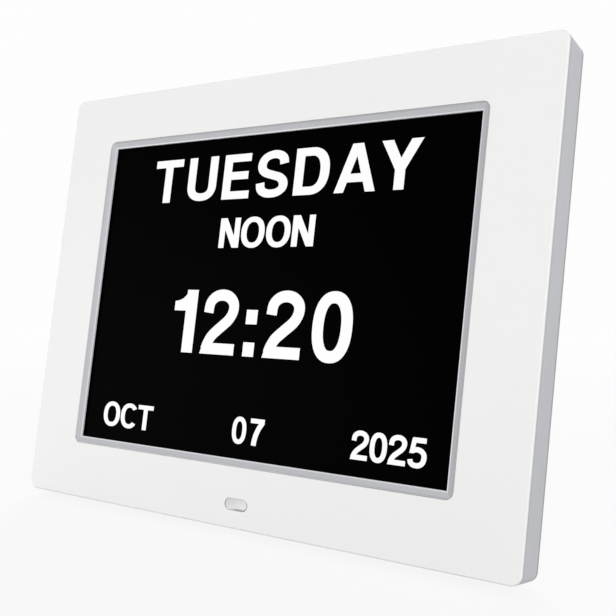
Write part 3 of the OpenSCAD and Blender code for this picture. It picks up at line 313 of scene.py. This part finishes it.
def plated(name, colour, other, rough, stretch):
    """A metal: streaks of 0.5 mm, stretched by a factor along the case's width, move its tone
    and its roughness."""
    m, shader, place = start(name, Metallic=1.0)
    lie = add(m, "ShaderNodeMapping", {"Vector": place, "Scale": (1 / stretch, 1.0, 1.0)})
    streak = add(m, "ShaderNodeTexNoise", {"Vector": lie.outputs["Vector"],
                                           "Scale": 1 / (0.5 * MM), "Detail": 3.0})
    tone = add(m, "ShaderNodeMix", {"Factor": streak.outputs["Fac"], MIX_A: linear(colour),
                                    MIX_B: linear(other)}, data_type="RGBA")
    gloss = add(m, "ShaderNodeMapRange", {"Value": streak.outputs["Fac"], **NOISE_ENDS,
                                          "To Min": rough[0], "To Max": rough[1]})
    m.node_tree.links.new(tone.outputs[MIXED], shader.inputs["Base Color"])
    m.node_tree.links.new(gloss.outputs["Result"], shader.inputs["Roughness"])
    materials[name] = m


# Zinc-plated steel of the screws and the leg's pin: cool grey, with even speckles.
plated("screw_steel", "#B0B3B8", "#A2A6AC", (0.28, 0.42), 1.0)
# Tin plate of the display's shell and clips, also on the coin cell and the magnet: paler, with
# long rolled streaks.
plated("tin_plate", "#BABDC0", "#AFB2B5", (0.24, 0.40), 12.0)
# Brass of the inlet's pin: turned, so it is the brightest of the three, and a warm yellow.
plated("contact_brass", "#D0B878", "#C4AA68", (0.18, 0.30), 1.0)
print("metals:", list(materials)[-3:])

# %% [markdown]
# ## The display's glass
#
# The front of the display is glass with an anti-reflection coat, so it stays black where the
# picture is black and mirrors almost nothing. A low specular level does the coat's work. A very
# fine etched grain keeps the little shine that is left from forming images.

# %% Display glass
m, shader, place = start("display_glass", IOR=1.5, Specular_IOR_Level=0.004)
etch = add(m, "ShaderNodeTexNoise", {"Vector": place, "Scale": 1 / (0.35 * MM), "Detail": 2.0})
cloud = add(m, "ShaderNodeTexNoise", {"Vector": place, "Scale": 1 / (45 * MM), "Detail": 2.0})
black = add(m, "ShaderNodeMix", {"Factor": cloud.outputs["Fac"], MIX_A: linear("#010101"),
                                 MIX_B: linear("#020203")}, data_type="RGBA")
haze = add(m, "ShaderNodeMapRange", {"Value": etch.outputs["Fac"], **NOISE_ENDS,
                                     "To Min": 0.30, "To Max": 0.40})
m.node_tree.links.new(black.outputs[MIXED], shader.inputs["Base Color"])
m.node_tree.links.new(haze.outputs["Result"], shader.inputs["Roughness"])
materials["display_glass"] = m
print("glass finish:", list(materials)[-1])

# %% [markdown]
# ## Light guide, films, LED strip and window
#
# Behind the glass lie an acrylic plate that spreads the light, white diffuser films and a strip
# of LED packages. They are hidden in use, and still get the finish that a service photograph
# would show. The small window below the display is tinted plastic that lets infrared light in
# and looks pale and slightly cloudy. The acrylic carries a raster of printed dots, and the flat
# cable has copper tracks under its amber film. Real ones are half a millimetre apart, and here
# they are drawn at twice that, so that they show.

# %% Optical pieces and flat cable


def patterned(name, colour, other, pattern, settings, factor="Fac", **sockets):
    """A plastic whose colour follows one pattern between two tones."""
    m, shader, place = start(name, **sockets)
    drawn = add(m, pattern, {"Vector": place, **settings})
    tone = add(m, "ShaderNodeMix", {"Factor": drawn.outputs[factor], MIX_A: linear(colour),
                                    MIX_B: linear(other)}, data_type="RGBA")
    m.node_tree.links.new(tone.outputs[MIXED], shader.inputs["Base Color"])
    materials[name] = m


# Cast acrylic of the light guide: clear and glossy, with dots 1.2 mm apart.
patterned("clear_acrylic", "#E4ECEE", "#CFDADD", "ShaderNodeTexVoronoi",
          {"Scale": 1 / (1.2 * MM)}, "Distance", IOR=1.49, Roughness=0.08,
          Transmission_Weight=0.35)
# Diffuser film: milky polyester with a fine tooth that kills the shine.
patterned("diffuser_film", "#F4F5F2", "#EEEFEC", "ShaderNodeTexNoise",
          {"Scale": 1 / (0.6 * MM)}, IOR=1.57, Roughness=0.55)
# LED packages: white resin under a yellowish phosphor.
patterned("led_white", "#F5F3DC", "#E8E4C0", "ShaderNodeTexNoise",
          {"Scale": 1 / (2.0 * MM)}, IOR=1.5, Roughness=0.4)
# Polyimide film of the flat cable: glossy amber, darker over the copper tracks. A wave of scale
# 1 repeats every 2 pi / 20, so its scale is that over the tracks' pitch.
CABLE_PITCH = 1.0 * MM
patterned("polyimide_film", "#D29A36", "#B9781F", "ShaderNodeTexWave",
          {"Scale": 2 * math.pi / 20 / CABLE_PITCH}, IOR=1.7, Roughness=0.28)
# Tinted plastic of the infrared window: pale grey, slightly cloudy.
patterned("window_plastic", "#D6D6D8", "#D0D0D3", "ShaderNodeTexNoise",
          {"Scale": 1 / (5 * MM), "Detail": 2.0}, IOR=1.52, Roughness=0.22)
print("optical finishes:", list(materials)[-5:])

# %% [markdown]
# The window is an oblong lens that lies slightly below the panel. Its upper left is in the
# panel's shade, it gets lighter towards the lower right, and there the step beside it throws a
# thin dark line of shade. The lens is too small for the lamps to draw that well, so this shade and
# light are painted on from the place on it: the distance from the oblong's middle line gives the
# shaded rim line, and rightwards minus about two times upwards gives the shade.

# %% Places on the infrared window
lens = face_coordinates("ir_window")
lens = lens[lens[:, 2] < lens[:, 2].min() + 0.1 * MM]
lens_mid = ((lens.max(0) + lens.min(0)) / 2).tolist()
lens_half = ((lens.max(0) - lens.min(0)) / 2).tolist()
m = materials["window_plastic"]
place = add(m, "ShaderNodeTexCoord").outputs["Object"]
right = add(m, "ShaderNodeVectorMath", {0: place, 1: ACROSS.tolist()}, operation="DOT_PRODUCT")
right = add(m, "ShaderNodeMath", {0: right.outputs["Value"], 1: lens_mid[0]},
            operation="SUBTRACT").outputs[0]
high = add(m, "ShaderNodeVectorMath", {0: place, 1: UP.tolist()}, operation="DOT_PRODUCT")
high = add(m, "ShaderNodeMath", {0: high.outputs["Value"], 1: lens_mid[1]},
           operation="SUBTRACT").outputs[0]
past_bend = add(m, "ShaderNodeMath", {0: right}, operation="ABSOLUTE")
past_bend = add(m, "ShaderNodeMath", {0: past_bend.outputs[0], 1: lens_half[0] - lens_half[1]},
                operation="SUBTRACT")
past_bend = add(m, "ShaderNodeMath", {0: past_bend.outputs[0], 1: 0.0}, operation="MAXIMUM")
spot = add(m, "ShaderNodeCombineXYZ", {"X": past_bend.outputs[0], "Y": high})
out = add(m, "ShaderNodeVectorMath", {0: spot.outputs["Vector"]}, operation="LENGTH")
print("window, mm:", [round(2 * half / MM, 1) for half in lens_half[:2]])

# %% Painted shade and shaded rim line of the infrared window
SHADE_SLOPE, LINE_SLOPE = -2.2, -2.0
SHADE_REACH = 6.5 * MM
LINE_BEGINS, LINE_FULL = 0.75 * MM, 0.35 * MM  # measured inwards from the lens's edge
shade = add(m, "ShaderNodeMath", {0: high, 1: SHADE_SLOPE, 2: right}, operation="MULTIPLY_ADD")
shade = add(m, "ShaderNodeMapRange", {"Value": shade.outputs[0], "From Min": -SHADE_REACH,
                                      "From Max": SHADE_REACH, "To Min": 0.72, "To Max": 1.06})
# Painted shade: a thin dark line along the lens's lower and right rim.
rim_shade = add(m, "ShaderNodeMapRange", {
    "Value": out.outputs["Value"], "From Min": lens_half[1] - LINE_BEGINS,
    "From Max": lens_half[1] - LINE_FULL, "To Min": 0.0, "To Max": 0.75})
side = add(m, "ShaderNodeMath", {0: high, 1: LINE_SLOPE, 2: right}, operation="MULTIPLY_ADD")
side = add(m, "ShaderNodeMapRange", {"Value": side.outputs[0], "From Min": 0.5 * MM,
                                     "From Max": 4.0 * MM})
line = add(m, "ShaderNodeMath", {0: rim_shade.outputs["Result"], 1: side.outputs["Result"]},
           operation="MULTIPLY")
level_here = add(m, "ShaderNodeMath", {0: shade.outputs["Result"], 1: line.outputs[0]},
                 operation="SUBTRACT")
colour = m.node_tree.nodes["Principled BSDF"].inputs["Base Color"]
toned = add(m, "ShaderNodeVectorMath", {0: colour.links[0].from_socket}, operation="SCALE")
m.node_tree.links.new(level_here.outputs[0], toned.inputs["Scale"])
m.node_tree.links.new(toned.outputs["Vector"], colour)
print("window's nodes:", len(m.node_tree.nodes))

# %% [markdown]
# ## Circuit boards
#
# A board is glass-fibre laminate under glossy green solder mask. Copper under the mask shows as
# a lighter, slightly raised green. Tracks run in bundles, some across the board and some up it,
# other places are filled with copper, and small tinned dots are the holes that lead to the
# other side. A cell pattern with square cells picks for each patch which of these it gets. Real
# tracks are about 0.25 mm wide, so here they are drawn about twice as wide.

# %% Copper and holes of the board
PATCH = 9 * MM
TRACK_PITCH = 1.2 * MM
HOLE_SPACING = 4.5 * MM
m, shader, place = start("board_laminate", IOR=1.52, Coat_Weight=0.4, Coat_Roughness=0.15)
across = add(m, "ShaderNodeVectorMath", {0: place, 1: ACROSS.tolist()}, operation="DOT_PRODUCT")
up = add(m, "ShaderNodeVectorMath", {0: place, 1: UP.tolist()}, operation="DOT_PRODUCT")
spot = add(m, "ShaderNodeCombineXYZ", {"X": across.outputs["Value"], "Y": up.outputs["Value"]})
patch = add(m, "ShaderNodeTexVoronoi", {"Vector": spot.outputs["Vector"], "Scale": 1 / PATCH,
                                        "Randomness": 0.8},
            voronoi_dimensions="2D", distance="CHEBYCHEV")
lot = add(m, "ShaderNodeSeparateColor", {"Color": patch.outputs["Color"]})
upright = add(m, "ShaderNodeMath", {0: lot.outputs["Red"], 1: 0.5}, operation="GREATER_THAN")
run = add(m, "ShaderNodeMix", {"Factor": upright.outputs[0], "A": up.outputs["Value"],
                               "B": across.outputs["Value"]})
beside = add(m, "ShaderNodeMath", {0: run.outputs[0], 1: TRACK_PITCH / 2}, operation="PINGPONG")
track = add(m, "ShaderNodeMapRange", {"Value": beside.outputs[0], "From Min": 0.22 * MM,
                                      "From Max": 0.30 * MM, "To Min": 1.0, "To Max": 0.0})
filled = add(m, "ShaderNodeMath", {0: lot.outputs["Green"], 1: 0.62}, operation="GREATER_THAN")
copper = add(m, "ShaderNodeMath", {0: track.outputs["Result"], 1: filled.outputs[0]},
             operation="MAXIMUM")
dots = add(m, "ShaderNodeTexVoronoi", {"Vector": spot.outputs["Vector"],
                                       "Scale": 1 / HOLE_SPACING}, voronoi_dimensions="2D")
tinned = add(m, "ShaderNodeMapRange", {"Value": dots.outputs["Distance"], "From Min": 0.09,
                                       "From Max": 0.12, "To Min": 1.0, "To Max": 0.0})
print("patch, tracks and holes, mm:",
      [round(size / MM, 1) for size in (PATCH, TRACK_PITCH, HOLE_SPACING)])

# %% Board laminate
mask = add(m, "ShaderNodeMix", {"Factor": copper.outputs[0], MIX_A: linear("#1B5536"),
                                MIX_B: linear("#2C7550")}, data_type="RGBA")
face = add(m, "ShaderNodeMix", {"Factor": tinned.outputs["Result"], MIX_A: mask.outputs[MIXED],
                                MIX_B: linear("#B4B8B0")}, data_type="RGBA")
relief = add(m, "ShaderNodeBump", {"Height": copper.outputs[0], "Strength": 0.3,
                                   "Distance": 0.04 * MM})
weave = add(m, "ShaderNodeTexNoise", {"Vector": place, "Scale": 1 / (0.8 * MM)})
sheen = add(m, "ShaderNodeMapRange", {"Value": weave.outputs["Fac"], **NOISE_ENDS,
                                      "To Min": 0.30, "To Max": 0.42})
m.node_tree.links.new(face.outputs[MIXED], shader.inputs["Base Color"])
m.node_tree.links.new(relief.outputs["Normal"], shader.inputs["Normal"])
m.node_tree.links.new(sheen.outputs["Result"], shader.inputs["Roughness"])
materials["board_laminate"] = m
print("finishes so far:", len(materials))

# %% [markdown]
# ## Every node gets its finish
#
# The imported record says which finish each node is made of, so the finishes are handed out from
# that list. Whatever a node's mesh carried before is replaced.

# %% Hand out the finishes
for part in frame["record"]["subparts"]:
    mesh_object = frame["nodes"][part["node"]]
    mesh_object.data.materials.clear()
    mesh_object.data.materials.append(materials[part["material_slot"]])

# %% [markdown]
# ## Lettering on the display
#
# The display shows a day, a part of the day, the time and the date in bold sans-serif capitals.
# Blender's own font isn't bold, and any other needs a font file, so the letters are drawn here as
# a sign painter draws them: each stroke is a centre line with a pen of fixed width. The pen is an
# ellipse, wider than tall, because upright strokes of such letters are heavier than level ones.
# The words and numbers are this lesson's own.

# %% The pen and its straight strokes
PEN_W = 0.113
PEN_H = 0.087
CAP = 1.0


def straight(x0, y0, x1, y1, half_x, half_y=0.0):
    """A straight stroke: both ends of the centre line, moved by plus and minus one fixed step,
    so that its ends are cut level or upright."""
    line = np.array([[x0, y0], [x1, y1]], float)
    step = np.array([half_x, half_y])
    return line - step, line + step


def cut(one_edge, other_edge):
    """A stroke cut to a shape: its two edges, point by point, with straight lines between."""
    return np.array(one_edge, float), np.array(other_edge, float)


print("pen:", 2 * PEN_W, "x", 2 * PEN_H, "of the capital height")

# %% Curved strokes


def swept(path, tangent, pen_w=PEN_W):
    """A curved stroke: each point of the path is moved both ways by the pen's reach along the
    path's normal n, which is (w^2 nx, h^2 ny) / sqrt(w^2 nx^2 + h^2 ny^2) for an ellipse."""
    normal = np.stack([-tangent[:, 1], tangent[:, 0]], 1)
    normal /= np.linalg.norm(normal, axis=1)[:, None]
    pen = np.array([pen_w, PEN_H])
    reach = pen ** 2 * normal / np.linalg.norm(pen * normal, axis=1)[:, None]
    return path - reach, path + reach


def bow(cx, cy, rx, ry, from_angle, to_angle, square=2.35, n=41, pen_w=PEN_W):
    """Part of a superellipse, |x/rx|^square + |y/ry|^square = 1, swept with the pen."""
    def at(t):
        c, s = np.cos(t), np.sin(t)
        return np.stack([cx + rx * np.sign(c) * np.abs(c) ** (2 / square),
                         cy + ry * np.sign(s) * np.abs(s) ** (2 / square)], 1)
    t = np.radians(np.linspace(from_angle, to_angle, n))
    return swept(at(t), at(t + 0.02) - at(t - 0.02), pen_w)


def flowing(points, n=12, pen_w=PEN_W):
    """A smooth line through the points, swept with the pen. Each span is the cubic
    b + (c-a)t/2 + (2a-5b+4c-d)t^2/2 + (3b-a-3c+d)t^3/2 of its neighbours a, b, c and d."""
    p = np.array(points, float)
    p = np.concatenate([2 * p[:1] - p[1:2], p, 2 * p[-1:] - p[-2:-1]])
    a, b, c, d = (p[i:len(p) - 3 + i, None, :] for i in range(4))
    t = np.linspace(0, 1, n, endpoint=False)[None, :, None]
    path = b + (c - a) * t / 2 + (2*a - 5*b + 4*c - d) * t**2 / 2 + (3*b - a - 3*c + d) * t**3 / 2
    path = np.concatenate([path.reshape(-1, 2), p[-2:-1]])
    return swept(path, np.gradient(path, axis=0), pen_w)


print("points in a bow and in a line through three points:",
      [len(stroke[0]) for stroke in (bow(0, 0, 1, 1, 0, 90), flowing([(0, 0), (1, 1), (2, 0)]))])

# %% [markdown]
# Each letter is a width and a list of strokes, in units of the capital height. Stems, level bars
# and slanted strokes are straight. Bowls are superellipses, which are squarer than circles and
# give the letters their firm look, and the S and some digits are smooth lines through points.

# %% Capital letters
W, H = PEN_W, PEN_H
TOP, LOW, MID = CAP - H, H, 0.51


def level(y, x0, x1):
    """A level bar from x0 to x1, with its middle at height y."""
    return straight(x0, y, x1, y, 0.0, H)


def stem(x, y0=0.0, y1=CAP):
    """An upright stem from y0 to y1, with its middle at x."""
    return straight(x, y0, x, y1, W)


glyphs = {
    "T": (.84, [stem(.42), level(TOP, .0, .84)]),
    "U": (.84, [stem(W, .34), stem(.84 - W, .34), bow(.42, .345, .42 - W, .345 - H, 180, 360)]),
    "E": (.74, [stem(W), level(TOP, W, .735), level(MID + .01, W, .69), level(LOW, W, .75)]),
    "S": (.82, [flowing([(.105, .315), (.14, .175), (.26, .095), (.42, .075), (.58, .1),
                         (.7, .185), (.71, .31), (.61, .415), (.42, .475), (.23, .535),
                         (.13, .63), (.13, .765), (.22, .875), (.395, .927), (.555, .908),
                         (.665, .835), (.7, .71)])]),
    "D": (.86, [stem(W), level(TOP, W, .42), level(LOW, W, .42),
                bow(.40, .5, .46 - W, .5 - H, -90, 90)]),
    "A": (.96, [cut([(0, 0), (.262, .74), (.355, 1)], [(.225, 0), (.48, .74), (.48, 1)]),
                cut([(.96, 0), (.698, .74), (.605, 1)], [(.735, 0), (.48, .74), (.48, 1)]),
                level(.295, .2, .76)]),
    "Y": (.92, [cut([(0, 1), (.46 - W, .40), (.46 - W, 0)], [(.26, 1), (.46, .63), (.46, 0)]),
                cut([(.92, 1), (.46 + W, .40), (.46 + W, 0)], [(.66, 1), (.46, .63), (.46, 0)])]),
    "N": (.84, [stem(W), stem(.84 - W), straight(.135, 1, .705, 0, .135)]),
    "O": (.95, [bow(.475, .5, .475 - W, .515 - H, 0, 360, 2.25, 73)]),
    "C": (.90, [bow(.475, .5, .475 - W, .515 - H, 38, 322, 2.25, 65)]),
}
KERNED = {"AY": -0.13, "DA": -0.04, "SD": -0.02}
print("capital letters:", "".join(glyphs))

# %% Digits
FINE = 0.094  # the digits' curves are drawn with a narrower pen
glyphs.update({
    "0": (.67, [bow(.335, .5, .335 - FINE, .515 - H, 0, 360, 2.35, 65, FINE)]),
    "1": (.46, [stem(.352), cut([(0, .815), (.09, .83), (.17, .865), (.23, .92), (.27, 1)],
                                [(0, .665), (.09, .665), (.17, .665), (.23, .665), (.27, .665)])]),
    "2": (.69, [flowing([(.1, .645), (.122, .80), (.215, .895), (.35, .926), (.485, .895),
                         (.58, .80), (.585, .67), (.51, .54), (.36, .415), (.215, .29),
                         (.14, .17), (.105, .07)], pen_w=FINE),
                cut([(0, 0), (.675, 0)], [(.05, 2 * H), (.675, 2 * H)])]),
    "5": (.70, [level(TOP, .16, .645), straight(.215, .98, .135, .47, .085),
                flowing([(.165, .552), (.235, .585), (.35, .6), (.49, .56), (.585, .46),
                         (.603, .325), (.56, .18), (.455, .095), (.33, .076), (.2, .1),
                         (.12, .17), (.1, .265)], pen_w=FINE)]),
    "7": (.68, [level(TOP, .02, .665), flowing([(.565, .86), (.43, .66), (.325, .42),
                                                (.27, .2), (.25, .0)])]),
    ":": (.21, [straight(.105, 0, .105, .215, .105), straight(.105, .49, .105, .71, .105)]),
})
print("drawn characters:", "".join(glyphs))

# %% [markdown]
# A line of text becomes one mesh: a strip of quads for each stroke, laid just in front of the
# glass. Strokes that cross would share a plane and flicker, so each lies two thousandths of a
# millimetre behind the one before. The strips face the viewer.

# %% Lines of text as meshes
ABOVE_GLASS = 0.06 * MM
LAYER = 0.002 * MM  # no line has 30 strokes, so even the last one is in front of the glass


def text_piece(name, words, mid_x, base_y, cap_height, full_width):
    """Sets words at a capital height, spread evenly to a full width about mid_x, in millimetres
    from the lower left corner of the visible display."""
    pairs = [words[i:i + 2] for i in range(len(words))]
    advance = [glyphs[pair[0]][0] + KERNED.get(pair, 0) for pair in pairs]
    gap = (full_width / cap_height - sum(advance)) / max(len(words) - 1, 1)
    left = np.cumsum([0] + [w + gap for w in advance[:-1]])
    strips = [(x, low, high) for x, ch in zip(left, words) for low, high in glyphs[ch][1]]
    corners, faces, start_at = [], [], 0
    for k, (x, low, high) in enumerate(strips):
        n = len(low)
        flat = np.concatenate([low, high]) + [x, 0]
        i = np.arange(n - 1)
        quads = np.stack([i, i + 1, i + 1 + n, i + n], 1)
        d1, d2 = flat[quads[:, 2]] - flat[quads[:, 0]], flat[quads[:, 3]] - flat[quads[:, 1]]
        if (d1[:, 0] * d2[:, 1] - d1[:, 1] * d2[:, 0]).sum() < 0:
            quads = quads[:, ::-1]
        across = (mid_x - full_width / 2 + flat[:, 0] * cap_height) * MM - view_half_w
        up = (base_y + flat[:, 1] * cap_height) * MM + view_mid - view_half_h
        depth = glass_front - ABOVE_GLASS + LAYER * k
        corners.append(on_face(across, up, depth))
        faces.append(quads + start_at)
        start_at += 2 * n
    mesh = bpy.data.meshes.new(name)
    mesh.from_pydata(np.concatenate(corners), [], np.concatenate(faces))
    mesh.update()
    piece = bpy.data.objects.new(name, mesh)
    bpy.context.scene.collection.objects.link(piece)
    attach(piece, "case")
    return piece


print("glass lies behind the face by", round((glass_front - panel_front) / MM, 2), "mm")

# %% [markdown]
# ## The lit pixels
#
# Lit parts of the picture are white light from the backlight through the glass. They are a
# plain glow, because a lamp or a shadow in the room changes them very little. A backlight is
# never quite even over the display, and a wide noise gives a drift of a few per cent.

# %% Lit pixels and the six lines
m, shader, place = start("lit_pixels", Roughness=0.4, Specular_IOR_Level=0.04,
                         Base_Color=linear("#050505"), Emission_Strength=1.0)
drift = add(m, "ShaderNodeTexNoise", {"Vector": place, "Scale": 1 / (70 * MM)})
white = add(m, "ShaderNodeMix", {"Factor": drift.outputs["Fac"], MIX_A: linear("#FFFFFF"),
                                 MIX_B: linear("#FAFAFA")}, data_type="RGBA")
m.node_tree.links.new(white.outputs[MIXED], shader.inputs["Emission Color"])
materials["lit_pixels"] = m

# Name, words, middle, base line, capital height and full width, the last four in millimetres.
lines = [("day_name", "TUESDAY", 82.9, 96.2, 17.3, 120.0),
         ("day_part", "NOON", 81.5, 77.5, 11.4, 43.2),
         ("time_digits", "12:20", 82.2, 37.1, 24.2, 81.2),
         ("month_name", "OCT", 23.4, 5.6, 9.6, 26.9),
         ("day_number", "07", 83.7, 5.5, 9.6, 14.4),
         ("year_number", "2025", 141.0, 5.6, 9.6, 27.9)]
for name, words, mid_x, base_y, cap_height, full_width in lines:
    piece = text_piece(name, words, mid_x, base_y, cap_height, full_width)
    piece.data.materials.append(materials["lit_pixels"])
    print(name, "faces:", len(piece.data.polygons))

# %% [markdown]
# ## Floor and light
#
# A product picture of such a clock is made on a white sweep with large soft lamps, so the paper
# behind it reads as one even white. Here the floor is a plain pale board. What the camera, a
# shine or a clear piece sees of it gets a glow of its own, which grows with distance until the
# board is as white as the background, so the edge between them can't be seen. The light on the
# clock doesn't change by this, and its soft shadow stays on the board.

# %% What counts as being looked at
BACKGROUND = 0.985  # the level of the white that is seen, just under full white
WHITE, BLACK = linear("#FFFFFF"), linear("#000000")


def looked_at(owner):
    """A socket that is 1 for camera, glossy and transmission rays, and 0 for the soft light that
    falls on the clock: the largest of the three."""
    path = add(owner, "ShaderNodeLightPath").outputs
    seen = add(owner, "ShaderNodeMath", {0: path["Is Camera Ray"], 1: path["Is Glossy Ray"]},
               operation="MAXIMUM")
    seen = add(owner, "ShaderNodeMath", {0: seen.outputs[0], 1: path["Is Transmission Ray"]},
               operation="MAXIMUM")
    return seen.outputs[0]


print("background level:", BACKGROUND)

# %% Floor
REACH = 3.0
FADE_FROM, FADE_TO = 0.25, 1.1  # metres from the clock
NEAR_GLOW = 0.885
floor_mesh = bpy.data.meshes.new("floor")
floor_mesh.from_pydata([(-REACH, -REACH, 0), (REACH, -REACH, 0), (REACH, REACH, 0),
                        (-REACH, REACH, 0)], [], [(0, 1, 2, 3)])
floor = bpy.data.objects.new("floor", floor_mesh)
bpy.context.scene.collection.objects.link(floor)
m, shader, place = start("pale_board", Roughness=0.9, Specular_IOR_Level=0.0,
                         Emission_Color=WHITE)
seen = looked_at(m)
away = add(m, "ShaderNodeVectorMath", {0: place}, operation="LENGTH")
far = add(m, "ShaderNodeMapRange", {"Value": away.outputs["Value"], "From Min": FADE_FROM,
                                    "From Max": FADE_TO}, interpolation_type="SMOOTHSTEP")
far = add(m, "ShaderNodeMath", {0: far.outputs["Result"], 1: seen}, operation="MULTIPLY")
# The pale colour throws light up at the clock. Where the board is looked at, most of its level
# is the glow, so its colour is dark there.
near = add(m, "ShaderNodeMix", {"Factor": seen, MIX_A: linear("#D0D0D0"),
                                MIX_B: linear("#505050")}, data_type="RGBA")
board = add(m, "ShaderNodeMix", {"Factor": far.outputs[0], MIX_A: near.outputs[MIXED],
                                 MIX_B: BLACK}, data_type="RGBA")
glow = add(m, "ShaderNodeMapRange", {"Value": far.outputs[0], "To Min": NEAR_GLOW,
                                     "To Max": BACKGROUND})
glow = add(m, "ShaderNodeMath", {0: glow.outputs["Result"], 1: seen}, operation="MULTIPLY")
m.node_tree.links.new(board.outputs[MIXED], shader.inputs["Base Color"])
m.node_tree.links.new(glow.outputs[0], shader.inputs["Emission Strength"])
floor_mesh.materials.append(m)
print("floor:", 2 * REACH, "m square")

# %% [markdown]
# The room itself is one even white that lights the clock from all sides, like white walls. Its
# light on the clock is less than half of what the camera sees of it, and the lamps do the rest.

# %% Room light
ROOM_LEVEL = 0.445
room = bpy.data.worlds.new("room")
bpy.context.scene.world = room
room.use_nodes = True
sky = room.node_tree.nodes["Background"]
strength = add(room, "ShaderNodeMapRange", {"Value": looked_at(room), "To Min": ROOM_LEVEL,
                                            "To Max": BACKGROUND})
sky.inputs["Color"].default_value = WHITE
room.node_tree.links.new(strength.outputs["Result"], sky.inputs["Strength"])
bpy.context.scene.view_settings.view_transform = "Standard"
print("room light:", ROOM_LEVEL)

# %% [markdown]
# Two large square lamps stand in front of the clock. The left one stands low and fills the white
# front from bottom to top. The right one is higher and stronger: it lights the grey side, and the
# rounded edge between front and side catches it. A third stands behind, high up, so the keys, the
# leg and the grille can be seen from the back. All three are large, so every shadow is soft.

# %% Soft lamps
CLOCK_MIDDLE = Vector((0, 0, 0.08))


def soft_lamp(name, where, side, watts):
    """A square lamp at a place, turned so that its -Z looks at the clock's middle."""
    data = bpy.data.lights.new(name, "AREA")
    data.shape = "SQUARE"
    data.size = side
    data.energy = watts
    lamp = bpy.data.objects.new(name, data)
    bpy.context.scene.collection.objects.link(lamp)
    lamp.location = where
    lamp.rotation_euler = (Vector(where) - CLOCK_MIDDLE).to_track_quat("Z", "Y").to_euler()


soft_lamp("left_lamp", (-1.2, -1.4, 0.25), side=0.8, watts=10.8)
soft_lamp("right_lamp", (1.5, -0.9, 0.6), side=1.0, watts=19)
soft_lamp("back_lamp", (-0.8, 1.5, 1.0), side=1.0, watts=25)

# %% [markdown]
# ## The end
#
# The last line counts the pieces of lettering that were added.

# %% Count the added pieces
print("pieces added:", len(lines))
